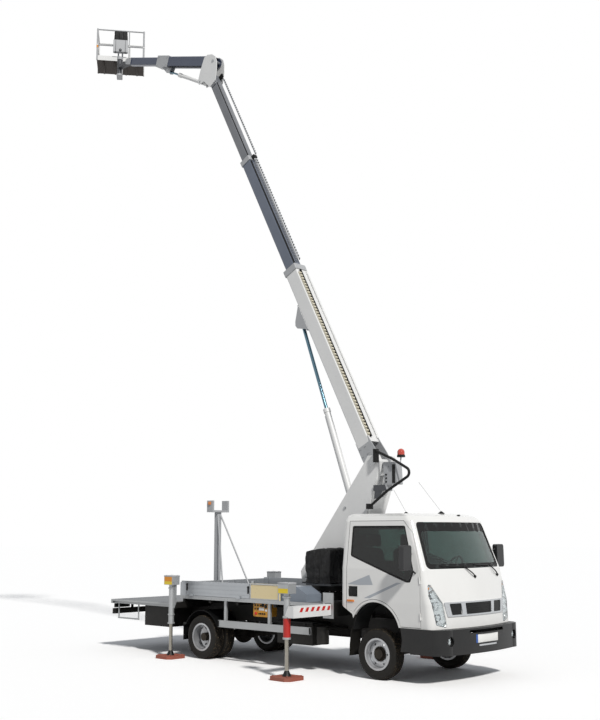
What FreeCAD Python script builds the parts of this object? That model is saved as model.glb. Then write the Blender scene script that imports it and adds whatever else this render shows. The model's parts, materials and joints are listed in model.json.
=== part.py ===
"""Truck-mounted telescopic boom platform: a cab-over light truck with a slewing turret, a three-section
boom, a telescopic jib, a work basket and four outriggers.

Frame: origin on the ground under the middle of the rear axle, +X forward, +Y to the left, +Z up.
Lengths are in millimetres and angles in degrees.  Every sub-part is written to parts/NAME.step.
"""
import FreeCAD, Part
import math
import os
from FreeCAD import Vector as V

os.makedirs("parts", exist_ok=True)

# ---------------------------------------------------------------- driving dimensions
WHEELBASE = 3400
TYRE_R = 325
TYRE_W = 195
BEAD_R = 190            # seat of the tyre on its rim
RIM_FLANGE_R = 207
FRONT_TYRE_Y = 785      # middle of a front tyre from the centre line
TWIN_OUTER_Y = 812      # middle of an outer rear tyre
TWIN_PITCH = 228        # between the two tyres of a pair
SEAT_GAP = 0.3          # between a piece and the one it seats on
RUN_GAP = 0.05          # radial running clearance of a shaft in its bore
PANEL_GAP = 6           # round a door

FRAME_W = 750           # over the chassis rails
RAIL_H, RAIL_FLANGE, RAIL_T = 170, 62, 7
RAIL_TOP = 735
RAIL_REAR, RAIL_FRONT = -1550, 4120
RAIL_BOTTOM = RAIL_TOP - RAIL_H

CAB_REAR = 2820
CAB_WALL = 36
CAB_ROOF = 2148
CAB_FLOOR, CAB_FOOTWELL = 1040, 800     # top of the cab's floor and of its footwell
DOOR_REAR, DOOR_FRONT = 2935, 4146
DOOR_BOTTOM = 705
ARCH_X, ARCH_Z, ARCH_R = 3405, 590, 405

BODY_HALF = 930         # half width of the bed
DECK_TOP = 935
DECK_T = 28
DECK_REAR, DECK_FRONT = -480, 2560
BOARD_H, BOARD_T = 215, 26
BOARD_REAR, BOARD_FRONT = -335, 1062    # ends of the folding side board
PLATFORM_REAR, PLATFORM_FRONT = -2240, -506
PLATFORM_TOP = 800

SLEW_X = 1900
SLEW_Z = 1130           # top of the slewing ring
SLEW_R = 330
FLOOR_LIFT = 20         # turret's floor above the foot of its disc
SWING_GAP = 10          # under the turret's floor as it turns

PIVOT = V(2840, 0, 2911)    # boom pivot
BOOM_ELEV = 62.8            # elevation of the boom as it stands
AXIS_DROP = 114             # boom's middle line below its pivot
BOOM_W, BOOM_H = (242, 184, 150), (248, 200, 160)   # base, middle and inner section
BOOM_WALL = 8
BASE_END = 3600             # ends of the sections along the boom, from the pivot
MID_END = 5960
INNER_END = 7970
MID_TAIL, INNER_TAIL = 2600, 5300   # inner ends of the sliding sections as they stand
JIB_PIVOT_T, JIB_PIVOT_D = 8176, -200  # jib pivot along the boom and below its middle line
LIFT_PIN_T, LIFT_PIN_D = 2667, 260   # lift cylinder's eye on the boom
LIFT_FOOT = V(2307, 0, 2250)
LIFT_BARREL_R, LIFT_ROD_R = 48, 27
LIFT_BARREL_L = 1600
LIFT_ROD_L = 1850

JIB_ELEV = 18.0
JIB_OUTER_L = 1680
JIB_COLLAR_L = 340
JIB_INNER_L = 1750
JIB_REACH = 2700        # from the jib pivot to the levelling pivot
JIB_W, JIB_H = (150, 122), (190, 146)
JIB_INNER_UP = 12       # inner section's middle line above the outer's
BASKET_TURN = -38.6     # basket's turn about the upright, from square to the jib
BASKET_W, BASKET_D, BASKET_H = 920, 615, 670
BASKET_TUBE_R = 17      # corner posts; the rails are a little thinner

FRONT_JACK_X, FRONT_JACK_Y = 2510, 1645
REAR_JACK_X, REAR_JACK_Y = -442, 1132
PAD_SIZE, PAD_T = 370, 45
JACK_TUBE_R, JACK_ROD_R = 42, 27
STROKE = 400
BEAM_X = 2620           # middle of the front outrigger beams
BEAM_INNER = 520        # inner ends of the beams from the centre line, fully out

SIDES = (("right", -1), ("left", 1))


# ---------------------------------------------------------------- helpers
def box(x0, x1, y0, y1, z0, z1):
    return Part.makeBox(x1 - x0, y1 - y0, z1 - z0, V(x0, y0, z0))


def rod(start, end, radius):
    """Solid round bar between two points."""
    axis = end - start
    return Part.makeCylinder(radius, axis.Length, start, axis)


def tube(start, end, outer, inner):
    return rod(start, end, outer).cut(rod(start, end, inner))


def side_plate(points, y0, y1):
    """Flat plate whose outline lies in the XZ plane, from y0 to y1."""
    wire = Part.makePolygon([V(x, y0, z) for x, z in points + points[:1]])
    return Part.Face(wire).extrude(V(0, y1 - y0, 0))


def plan_plate(points, z0, z1):
    wire = Part.makePolygon([V(x, y, z0) for x, y in points + points[:1]])
    return Part.Face(wire).extrude(V(0, 0, z1 - z0))


def front_plate(points, x0, x1):
    wire = Part.makePolygon([V(x0, y, z) for y, z in points + points[:1]])
    return Part.Face(wire).extrude(V(x1 - x0, 0, 0))


def rounded(points, radius):
    """Corner points of a polygon replaced by short arcs; returns edges of one closed wire."""
    count = len(points)
    edges = []
    joints = []
    for i, p in enumerate(points):
        a = (points[i - 1] - p).normalize()
        b = (points[(i + 1) % count] - p).normalize()
        half = a.getAngle(b) / 2
        reach = radius / math.tan(half)
        bis = (a + b).normalize()
        mid = p + bis * (radius / math.sin(half) - radius)
        joints.append((p + a * reach, mid, p + b * reach))
    for i, (start, mid, end) in enumerate(joints):
        edges.append(Part.Arc(start, mid, end).toShape())
        edges.append(Part.LineSegment(end, joints[(i + 1) % count][0]).toShape())
    return Part.Wire(edges)


def rounded_side(points, radius, y0, y1):
    wire = rounded([V(x, y0, z) for x, z in points], radius)
    return Part.Face(wire).extrude(V(0, y1 - y0, 0))


def rounded_front(points, radius, x0, x1):
    wire = rounded([V(x0, y, z) for y, z in points], radius)
    return Part.Face(wire).extrude(V(x1 - x0, 0, 0))


def rounded_plan(points, radius, z0, z1):
    wire = rounded([V(x, y, z0) for x, y in points], radius)
    return Part.Face(wire).extrude(V(0, 0, z1 - z0))


def fuse(shapes):
    shapes = list(shapes)
    result = shapes[0]
    if len(shapes) > 1:
        result = result.multiFuse(shapes[1:])
    return result.removeSplitter()


def mirrored(shape):
    """Copy on the other side of the vehicle's middle plane."""
    return shape.mirror(V(0, 0, 0), V(0, 1, 0))


def both(shape):
    return [shape, mirrored(shape)]


def turned(shape, centre, axis, degrees):
    result = shape.copy()
    result.rotate(centre, axis, degrees)
    return result


def moved(shape, x=0, y=0, z=0):
    result = shape.copy()
    result.translate(V(x, y, z))
    return result


def revolved(points, centre, axis, flat):
    """Ring turned from (along, radius) pairs about an axis; flat is the direction of the radius."""
    pts = [centre + axis * a + flat * r for a, r in points]
    face = Part.Face(Part.makePolygon(pts + pts[:1]))
    return face.revolve(centre, axis, 360)


def save(name, shape):
    solids = shape.Solids
    shape = solids[0] if len(solids) == 1 else Part.makeCompound(solids)
    shape.exportStep("parts/" + name + ".step")


# ---------------------------------------------------------------- chassis
def channel_rail(y_out, inward):
    """C-section rail with its web outside; inward is +1 or -1, towards the middle."""
    web = box(RAIL_REAR, RAIL_FRONT, min(y_out, y_out + inward * RAIL_T), max(y_out, y_out + inward * RAIL_T),
              RAIL_BOTTOM, RAIL_TOP)
    lo, hi = sorted((y_out, y_out + inward * RAIL_FLANGE))
    top = box(RAIL_REAR, RAIL_FRONT, lo, hi, RAIL_TOP - RAIL_T, RAIL_TOP)
    bottom = box(RAIL_REAR, RAIL_FRONT, lo, hi, RAIL_BOTTOM, RAIL_BOTTOM + RAIL_T)
    return fuse([web, top, bottom])


SPRING_Y = 340
SPRING_W = 60
SPRING_EYE_Z = 500
AXLE_R = 52


JAW_X, JAW_R = -1605, 19      # pin hole of the rear towing jaw


def chassis_frame():
    half = FRAME_W / 2
    parts = [channel_rail(-half, 1), channel_rail(half, -1)]
    for x in (-1500, -620, 620, 1350, 2300, 3950):
        parts.append(box(x - 35, x + 35, -half + RAIL_T, half - RAIL_T, RAIL_BOTTOM + 35, RAIL_TOP - 30))
    # spring hangers under the rails, front and rear axle
    for axle_x, reach in ((0, 620), (WHEELBASE, 560)):
        for sign in (-1, 1):
            for end in (-1, 1):
                x = axle_x + end * reach
                lo, hi = sorted((sign * (SPRING_Y - SPRING_W / 2), sign * (SPRING_Y + SPRING_W / 2)))
                parts.append(box(x - 30, x + 30, lo, hi, SPRING_EYE_Z + 22, RAIL_BOTTOM))
    # seats of the cab: pads under its footwell and posts under its floor
    for _, sign in SIDES:
        lo, hi = sorted((sign * (half - RAIL_FLANGE), sign * half))
        parts.append(box(3880, 3950, lo, hi, RAIL_TOP, CAB_FOOTWELL - CAB_WALL - SEAT_GAP))
        parts.append(box(2865, 2925, lo, hi, RAIL_TOP, CAB_FLOOR - CAB_WALL - SEAT_GAP))
    # rear towing jaw and the front towing eye's plate
    for z in (606, 670):
        jaw = rounded_plan([(-1640, -60), (-1520, -60), (-1520, 60), (-1640, 60)], 30, z, z + 18)
        parts.append(jaw.cut(rod(V(JAW_X, 0, 600), V(JAW_X, 0, 700), JAW_R)))
    eye = box(4080, 4215, 250, 262, 600, 680).cut(rod(V(4185, 240, 640), V(4185, 270, 640), 15))
    parts.append(box(4080, 4120, 240, half - RAIL_T, 600, 680))
    parts.append(eye)
    return fuse(parts)


def leaf_pack(axle_x, reach, seat_z, sign):
    """Stacked leaves: the main leaf carries the eyes, the shorter ones lie under it."""
    leaves = []
    y = sign * SPRING_Y
    lo, hi = y - SPRING_W / 2, y + SPRING_W / 2
    for i in range(4):
        length = reach * (1 - 0.2 * i)
        z = seat_z + 14 * (3 - i)
        rise = (SPRING_EYE_Z - seat_z - 42) * (length / reach) ** 2
        pts = [(axle_x - length, z + rise), (axle_x - 90, z), (axle_x + 90, z), (axle_x + length, z + rise)]
        outline = pts + [(x, zz + 13) for x, zz in reversed(pts)]
        leaves.append(side_plate(outline, lo, hi))
    for end in (-1, 1):
        centre = V(axle_x + end * reach, lo, SPRING_EYE_Z)
        leaves.append(rod(centre, centre + V(0, SPRING_W, 0), 22 - SEAT_GAP))
    clip = box(axle_x - 60, axle_x + 60, lo - 8, hi + 8, seat_z - 1, seat_z + 68)
    leaves.append(clip)
    return leaves


KINGPIN_Y = 640
KINGPIN_R = 16
BOSS_R = 36
BOSS_LO, BOSS_HI = 275, 375


def front_axle():
    z = TYRE_R
    parts = [box(WHEELBASE - 30, WHEELBASE + 30, -KINGPIN_Y, KINGPIN_Y, z - 40, z + 35)]
    web = box(WHEELBASE - 40, WHEELBASE - 12, -KINGPIN_Y + 90, KINGPIN_Y - 90, z - 22, z + 17)
    body = fuse(parts).cut(web).cut(moved(web, 52, 0, 0))
    pieces = [body]
    for _, sign in SIDES:
        y = sign * KINGPIN_Y
        pieces.append(rod(V(WHEELBASE, y, BOSS_LO), V(WHEELBASE, y, BOSS_HI), BOSS_R))
        pieces += leaf_pack(WHEELBASE, 560, z + 35, sign)
    shape = fuse(pieces)
    for _, sign in SIDES:
        y = sign * KINGPIN_Y
        bore = rod(V(WHEELBASE, y, BOSS_LO - 5), V(WHEELBASE, y, BOSS_HI + 5), KINGPIN_R + RUN_GAP)
        shape = shape.cut(bore)
    return shape


STUB_R = 26


def knuckle(sign):
    """Steering knuckle: two ears round the axle's boss, the kingpin, the stub axle and the steering arm."""
    y = sign * KINGPIN_Y
    ear = 26
    ear_gap = 0.3
    parts = []
    low, high = BOSS_LO - ear_gap - ear, BOSS_HI + ear_gap + ear
    for z0, z1 in ((low, BOSS_LO - ear_gap), (BOSS_HI + ear_gap, high)):
        parts.append(rod(V(WHEELBASE, y, z0), V(WHEELBASE, y, z1), BOSS_R))
        lo, hi = sorted((y, y + sign * 66))
        parts.append(box(WHEELBASE - 34, WHEELBASE + 34, lo, hi, z0, z1))
    lo, hi = sorted((y + sign * 46, y + sign * 70))
    parts.append(box(WHEELBASE - 45, WHEELBASE + 45, lo, hi, low, high))
    parts.append(rod(V(WHEELBASE, y, BOSS_LO - ear - 12), V(WHEELBASE, y, BOSS_HI + ear + 12), KINGPIN_R))
    parts.append(rod(V(WHEELBASE, y + sign * 60, TYRE_R), V(WHEELBASE, y + sign * 195, TYRE_R), STUB_R))
    arm = side_plate([(WHEELBASE - 30, BOSS_LO - 26), (WHEELBASE - 30, BOSS_LO - 8),
                      (WHEELBASE - 190, BOSS_LO - 8), (WHEELBASE - 190, BOSS_LO - 26)],
                     min(y - sign * 12, y + sign * 22), max(y - sign * 12, y + sign * 22))
    parts.append(arm)
    return fuse(parts)


def rear_axle():
    z = TYRE_R
    outer = TWIN_OUTER_Y + 20
    parts = [rod(V(0, -470, z), V(0, 470, z), AXLE_R),
             rod(V(0, -outer, z), V(0, outer, z), STUB_R),
             Part.makeSphere(150, V(0, 0, z)),
             rod(V(0, 0, z), V(240, 0, z), 62)]
    for _, sign in SIDES:
        parts += leaf_pack(0, 620, z + AXLE_R - 2, sign)
    return fuse(parts)


def driveline():
    """Engine as one plain block, its gearbox, and the shaft to the rear axle."""
    engine = box(3060, 3780, -235, 235, 470, 930)
    bell = side_plate([(3060, 500), (3060, 800), (2640, 720), (2640, 560)], -150, 150)
    flange = rod(V(240 + SEAT_GAP, 0, TYRE_R), V(262, 0, TYRE_R), 52)
    shaft = rod(V(2660, 0, 600), V(258, 0, TYRE_R), 34)
    sump = side_plate([(3120, 470), (3200, 400), (3620, 400), (3700, 470)], -170, 170)
    return fuse([engine, bell, flange, shaft, sump])


# ---------------------------------------------------------------- wheels
def tyre(y):
    half = TYRE_W / 2
    bead = half - 18 - SEAT_GAP
    over = RIM_FLANGE_R + SEAT_GAP
    near = [(-bead, BEAD_R + SEAT_GAP), (-bead, over), (-half + 6, over + 6), (-half, 262), (-half + 5, 296),
            (-half + 17, 316), (-half + 34, TYRE_R - 1), (0, TYRE_R)]
    profile = near + [(-along, radius) for along, radius in reversed(near[:-1])]
    return revolved(profile, V(0, y, TYRE_R), V(0, 1, 0), V(0, 0, 1))


# wheel discs in section: distance outwards from the tyre's middle, and radius
FRONT_DISC = [(17, 40), (17, 78), (39, 120), (29, 160), (14, 176),
              (3, 176), (17, 160), (27, 112), (5, 74), (5, 40)]
REAR_DISC = [(-113.7, 40), (-113.7, 104), (-78, 150), (-62, 176),
             (-48, 176), (-64, 146), (-100, 96), (-100, 40)]
# the well's floor in section, inner side then outer side: (along, radius)
FRONT_WELL = [(-40, 172), (40, 172)], [(42, BEAD_R), (34, 180), (-34, 180), (-42, BEAD_R)]
REAR_WELL = [(-66, 171), (-30, 171)], [(-24, BEAD_R), (-32, 180), (-64, 180), (-70, BEAD_R)]


def rim(y, side, disc):
    """Steel wheel's pieces: well with flanges, pierced disc and wheel nuts."""
    half = TYRE_W / 2 - 18
    centre = V(0, y, TYRE_R)
    out = V(0, side, 0)
    up = V(0, 0, 1)
    floor_in, floor_out = REAR_WELL if disc is REAR_DISC else FRONT_WELL
    well = [(-half, RIM_FLANGE_R), (-half - 8, RIM_FLANGE_R), (-half - 8, BEAD_R - 8)] + floor_in
    well += [(half + 8, BEAD_R - 8), (half + 8, RIM_FLANGE_R), (half, RIM_FLANGE_R), (half, BEAD_R)]
    well += floor_out
    well.append((-half, BEAD_R))
    ring = revolved(well, centre, out, up)
    plate = revolved(disc, centre, out, up)
    holes = []
    for i in range(6):
        a = math.radians(60 * i + 30)
        hole = centre + V(138 * math.sin(a), 0, 138 * math.cos(a)) - out * 130
        holes.append(rod(hole, hole + out * 180, 15))
    nuts = []
    face = disc[-1][0] if disc is REAR_DISC else disc[0][0]
    for i in range(6):
        a = math.radians(60 * i)
        foot = centre + V(79 * math.sin(a), 0, 79 * math.cos(a)) + out * (face - 8)
        nuts.append(rod(foot, foot + out * 24, 11))
    return [ring, plate.cut(Part.makeCompound(holes))] + nuts


def wheels():
    for name, sign in SIDES:
        y = sign * FRONT_TYRE_Y
        bore = rod(V(0, sign * 600, TYRE_R), V(0, sign * (FRONT_TYRE_Y + 51), TYRE_R), STUB_R + RUN_GAP)
        hub = rod(V(0, sign * (FRONT_TYRE_Y - 40), TYRE_R), V(0, sign * (FRONT_TYRE_Y + 58), TYRE_R), 60)
        wheel = fuse([hub] + rim(y, sign, FRONT_DISC)).cut(bore)
        save("front_tyre_" + name, moved(tyre(y), WHEELBASE))
        save("front_rim_" + name, moved(wheel, WHEELBASE))
        y_out = sign * TWIN_OUTER_Y
        y_in = sign * (TWIN_OUTER_Y - TWIN_PITCH)
        bore = rod(V(0, sign * 400, TYRE_R), V(0, sign * (TWIN_OUTER_Y + 21), TYRE_R), STUB_R + RUN_GAP)
        pair = Part.makeCompound([tyre(y_out), tyre(y_in)])
        hub = rod(V(0, y_in - sign * 45, TYRE_R), V(0, y_out + sign * 45, TYRE_R), 60)
        discs = rim(y_out, sign, REAR_DISC) + rim(y_in, -sign, REAR_DISC)
        save("rear_tyres_" + name, pair)
        save("rear_rims_" + name, fuse([hub] + discs).cut(bore))


# ---------------------------------------------------------------- cab
# level, front at the middle, front at the corner, half width, corner radius
CAB_LEVELS = [
    (690, 4430, 4335, 918, 90),
    (1000, 4410, 4300, 928, 90),
    (1420, 4325, 4205, 920, 85),
    (2043, 4085, 3975, 838, 80),
    (2112, 4010, 3905, 800, 90),
    (CAB_ROOF, 3880, 3790, 705, 110),
]


def cab_level(z, front, corner, half, radius, inset):
    rear = CAB_REAR + inset
    f, c, w = front - inset, corner - inset, half - inset
    r, rr = max(radius - inset, 12), max(70 - inset, 12)
    k = math.sqrt(0.5)
    pts = {
        "rl": V(rear, w - rr, z), "rr": V(rear, -w + rr, z),
        "sr0": V(rear + rr, -w, z), "sr1": V(c - r, -w, z),
        "fr": V(c, -w + r, z), "fl": V(c, w - r, z),
        "sl1": V(c - r, w, z), "sl0": V(rear + rr, w, z),
    }
    edges = [
        Part.LineSegment(pts["rl"], pts["rr"]).toShape(),
        Part.Arc(pts["rr"], V(rear + rr - rr * k, -w + rr - rr * k, z), pts["sr0"]).toShape(),
        Part.LineSegment(pts["sr0"], pts["sr1"]).toShape(),
        Part.Arc(pts["sr1"], V(c - r + r * k, -w + r - r * k, z), pts["fr"]).toShape(),
        Part.Arc(pts["fr"], V(f, 0, z), pts["fl"]).toShape(),
        Part.Arc(pts["fl"], V(c - r + r * k, w - r + r * k, z), pts["sl1"]).toShape(),
        Part.LineSegment(pts["sl1"], pts["sl0"]).toShape(),
        Part.Arc(pts["sl0"], V(rear + rr - rr * k, w - rr + rr * k, z), pts["rl"]).toShape(),
    ]
    return Part.Wire(edges)


def cab_form(inset):
    """The cab's outer form moved inwards by inset (outwards if negative)."""
    wires = []
    for z, front, corner, half, radius in CAB_LEVELS:
        level = z
        if z == CAB_LEVELS[0][0]:
            level = z - 60
        elif z == CAB_ROOF:
            level = z - inset
        else:
            level = z - inset * 0.5
        wires.append(cab_level(level, front, corner, half, radius, inset))
    return Part.makeLoft(wires, True, True)


def arch_cut(extra=0):
    return rod(V(ARCH_X, -1200, ARCH_Z), V(ARCH_X, 1200, ARCH_Z), ARCH_R + extra)


WINDSCREEN = [(-838, 1432), (838, 1432), (770, 2032), (-770, 2032)]
REAR_WINDOW = [(-560, 1500), (560, 1500), (560, 1940), (-560, 1940)]
SIDE_WINDOW = [(2975, 1585), (2975, 1985), (3868, 1985), (4052, 1400), (3995, 1262), (3925, 1262)]
LAMP = [(655, 700), (835, 745), (895, 1100), (880, 1235), (845, 1250), (700, 1010)]


def door_outline(grow):
    """Door's edge in side view; grow widens it all round for the opening in the cab."""
    g = grow
    pts = [(DOOR_REAR - g, 880), (DOOR_REAR - g, 2046 + g), (3838 + g, 2046 + g), (3985 + g, 1900),
           (DOOR_FRONT + g, 1430), (DOOR_FRONT + g, DOOR_BOTTOM - g), (3700, DOOR_BOTTOM - g), (3405, 800)]
    return side_plate(pts, -1000, -760).cut(arch_cut(36 - g))


def door_hinge_spots():
    x = DOOR_FRONT + PANEL_GAP / 2
    return [V(x, -929, 800), V(x, -929, 1250)]


HINGE_R, HINGE_H = 8, 44


def cab_shell():
    outer = cab_form(0)
    keep = box(CAB_REAR - 10, 4600, -1000, 1000, 690, 2200)
    outer = outer.common(keep)
    inner = cab_form(CAB_WALL)
    cabin = inner.common(box(CAB_REAR, 4600, -1000, 1000, CAB_FLOOR, 2200))
    footwell = inner.common(box(3850, 4600, -1000, 1000, CAB_FOOTWELL, CAB_FLOOR + 1))
    # everything under the floor and the footwell is open to the chassis
    under = inner.common(box(CAB_REAR, 3814, -1000, 1000, 600, CAB_FLOOR - CAB_WALL))
    under_front = inner.common(box(3813, 4600, -1000, 1000, 600, CAB_FOOTWELL - CAB_WALL))
    shell = outer.cut(cabin).cut(footwell).cut(under).cut(under_front)
    shell = shell.cut(arch_cut())
    shell = shell.cut(box(CAB_REAR - 20, CAB_REAR + 60, -560, 560, 600, 985))
    # the rear lower edge rises behind the arch
    rise = side_plate([(CAB_REAR - 50, 600), (CAB_REAR - 50, 945), (CAB_REAR, 945), (3025, 825), (3100, 600)],
                      -1000, 1000)
    shell = shell.cut(rise)
    shell = shell.cut(rounded_front(WINDSCREEN, 60, 3700, 4600))
    shell = shell.cut(rounded_front(REAR_WINDOW, 50, CAB_REAR - 50, CAB_REAR + 120))
    opening = door_outline(PANEL_GAP)
    shell = shell.cut(opening).cut(mirrored(opening))
    for lamp in lamp_prisms(0):
        shell = shell.cut(lamp.cut(cab_form(70)))
    hinges = []
    for spot in door_hinge_spots():
        relief = rod(spot + V(0, 0, HINGE_H - 2), spot + V(0, 0, 2 * HINGE_H + 4), HINGE_R + 4)
        shell = shell.cut(relief).cut(mirrored(relief))
        pin = rod(spot, spot + V(0, 0, HINGE_H), HINGE_R)
        leaf = box(spot.x, spot.x + 22, spot.y + 1, spot.y + 7, spot.z, spot.z + HINGE_H - 3)
        hinges += both(fuse([pin, leaf]))
    return fuse([shell] + hinges)


def lamp_prisms(inset):
    pts = LAMP
    result = []
    for sign in (-1, 1):
        wire = rounded([V(4172, sign * y, z) for y, z in pts], 26)
        face = Part.Face(wire)
        if inset:
            face = Part.Face(wire.makeOffset2D(-inset))
        result.append(face.extrude(V(700, 0, 0)))
    return result


def skin(outer_inset, inner_inset):
    return cab_form(outer_inset).cut(cab_form(inner_inset))


def inset_prism(points, inset, radius, x0, x1):
    wire = rounded([V(x0, y, z) for y, z in points], radius)
    return Part.Face(wire.makeOffset2D(-inset)).extrude(V(x1 - x0, 0, 0))


def cab_glass():
    screen = skin(6, 12).common(inset_prism(WINDSCREEN, SEAT_GAP, 60, 3700, 4600))
    pane = inset_prism(REAR_WINDOW, SEAT_GAP, 50, CAB_REAR + 8, CAB_REAR + 13)
    return Part.makeCompound(screen.Solids + pane.Solids)


def door():
    """Right-hand door with its window opening and two hinge barrels."""
    panel = skin(0, CAB_WALL).common(door_outline(0))
    panel = panel.cut(rounded_side(SIDE_WINDOW, 34, -1000, -700))
    # handle recess
    panel = panel.cut(box(2962, 3120, -1000, -912, 1050, 1190))
    hinges = []
    for spot in door_hinge_spots():
        panel = panel.cut(rod(spot - V(0, 0, 4), spot + V(0, 0, HINGE_H + 4), HINGE_R + 5))
        top = spot + V(0, 0, HINGE_H + SEAT_GAP)
        hinges.append(rod(top, top + V(0, 0, HINGE_H), HINGE_R))
        hinges.append(box(top.x - 24, top.x, top.y + 1, top.y + 7, top.z, top.z + HINGE_H))
    return fuse([panel] + hinges)


def door_window():
    wire = rounded([V(x, -1000, z) for x, z in SIDE_WINDOW], 34)
    prism = Part.Face(wire.makeOffset2D(-SEAT_GAP)).extrude(V(0, 300, 0))
    return skin(12, 17).common(prism)


def mirror():
    """Door mirror: two arms from the door's front corner and a tall head."""
    head = rounded_front([(-1180, 1420), (-1010, 1420), (-1000, 1735), (-1170, 1735)], 38, 4010, 4085)
    recess = rounded_front([(-1165, 1436), (-1024, 1436), (-1015, 1720), (-1157, 1720)], 28, 4000, 4016)
    glass = rounded_front([(-1163, 1438), (-1026, 1438), (-1017, 1718), (-1155, 1718)], 27, 4013, 4016)
    arms = [rod(V(4070, -1060, 1470), V(4078, -922, 1380), 11),
            rod(V(4070, -1060, 1690), V(3998, -893, 1620), 9)]
    body = fuse([head.cut(recess), glass] + arms)
    return body.cut(cab_form(0)).cut(skin(-0.3, 40))


def cab_interior():
    """Bench and driver's seat, dashboard and steering column, each standing on the cab's floor."""
    floor = CAB_FLOOR + SEAT_GAP
    parts = []
    for y0, y1 in ((-800, -130), (150, 720)):
        parts.append(rounded_side([(2990, floor), (2990, 1200), (3480, 1215), (3500, floor)], 14, y0, y1))
        back = rounded_side([(2905, 1190), (2880, 1690), (2975, 1700), (3050, 1190)], 14, y0, y1)
        parts.append(back)
        mid = (y0 + y1) / 2
        heads = (mid - 160, mid + 160) if y1 - y0 > 600 else (mid,)
        for y in heads:
            rest = [(2890, 1680), (2885, 1870), (2950, 1875), (2970, 1680)]
            parts.append(rounded_side(rest, 14, y - 120, y + 120))
    seats = fuse(parts)
    dash = rounded_side([(3890, 980), (3800, 1190), (3850, 1330), (3960, 1390), (4080, 1370), (4080, 980)],
                        25, -770, 770)
    foot = box(3930, 4060, -350, 350, CAB_FOOTWELL + SEAT_GAP, 985)
    column = rod(V(3960, 430, 1300), V(3735, 430, 1400), 24)
    axis = (V(3735, 430, 1400) - V(3960, 430, 1300)).normalize()
    ring = Part.makeTorus(185, 14, V(3735, 430, 1400), axis)
    hub = rod(V(3755, 430, 1391), V(3722, 430, 1406), 55)
    spokes = turned(box(3727, 3743, 430 - 182, 430 + 182, 1380, 1420), V(3735, 430, 1400), V(0, 1, 0), -24)
    wheel = fuse([column, ring, hub, spokes])
    return Part.makeCompound(seats.Solids + fuse([dash, foot, wheel]).Solids)


def bumper_plan(inset, z0, z1):
    f, s = 4545 - inset, 945 - inset
    pts = [V(3985, -s, z0), V(4330 - inset, -s, z0), V(4478 - inset, -700, z0), V(f, 0, z0),
           V(4478 - inset, 700, z0), V(4330 - inset, s, z0), V(3985, s, z0)]
    edges = [Part.LineSegment(pts[0], pts[1]).toShape(),
             Part.Arc(pts[1], V(4432 - inset * 0.9, -870 + inset * 0.8, z0), pts[2]).toShape(),
             Part.Arc(pts[2], pts[3], pts[4]).toShape(),
             Part.Arc(pts[4], V(4432 - inset * 0.9, 870 - inset * 0.8, z0), pts[5]).toShape(),
             Part.LineSegment(pts[5], pts[6]).toShape(), Part.LineSegment(pts[6], pts[0]).toShape()]
    return Part.Face(Part.Wire(edges)).extrude(V(0, 0, z1 - z0))


BUMPER_LO, BUMPER_HI = 375, 689


def front_bumper():
    body = bumper_plan(0, BUMPER_LO, BUMPER_HI)
    body = body.cut(bumper_plan(45, BUMPER_LO - 5, BUMPER_HI - 35))
    body = body.cut(bumper_plan(120, BUMPER_HI - 40, BUMPER_HI + 5))
    body = body.cut(box(3900, 4140, -905, 905, 300, 800))
    # plate recess, air slot and lamp holes
    body = body.cut(box(4527, 4600, -262, 262, 497, 611))
    body = body.cut(rounded_front([(-400, 628), (400, 628), (380, 668), (-380, 668)], 12, 4380, 4600))
    for _, sign in SIDES:
        y = sign * 735
        pod = rod(V(4380, y, 545), V(4450, y, 545), 76).common(bumper_plan(1, 400, 650))
        body = fuse([body, pod]).cut(rod(V(4410, y, 545), V(4600, y, 545), 60))
    # step and arch side behind the front corner
    for _, sign in SIDES:
        lo, hi = sorted((sign * 700, sign * 935))
        step = side_plate([(3835, 395), (3860, 540), (3835, 689), (4050, 689), (4050, 395)], lo, hi)
        body = fuse([body, step])
    brackets = []
    for y in (-342, 342):
        bracket = box(RAIL_FRONT + SEAT_GAP, 4520, y - 30, y + 30, 600, 640)
        brackets.append(bracket.common(bumper_plan(40, 400, 689)))
    return fuse([body] + brackets)


GRILLE = [(-690, 1018), (690, 1018), (640, 838), (-640, 838)]


def grille():
    band = skin(-14, -SEAT_GAP).common(rounded_front(GRILLE, 24, 4200, 4700))
    for y0, y1 in ((-300, 300), (-600, -385), (385, 600)):
        cut = rounded_front([(y0, 1000), (y1, 1000), (y1 * 0.94, 858), (y0 * 0.94, 858)], 14, 4200, 4700)
        band = band.cut(cut)
    mesh = []
    for y0, y1 in ((-310, 310), (-605, -378), (378, 605)):
        mesh.append(skin(-6, -SEAT_GAP).common(box(4200, 4700, y0, y1, 850, 1008)))
    return fuse([band] + mesh)


def headlamps():
    lamps = []
    for prism in lamp_prisms(SEAT_GAP):
        lamps += cab_form(-5).cut(cab_form(70 - SEAT_GAP)).common(prism).Solids
    return Part.makeCompound(lamps)


# ---------------------------------------------------------------- body and bed
SUB_TOP = DECK_TOP - DECK_T


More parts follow.
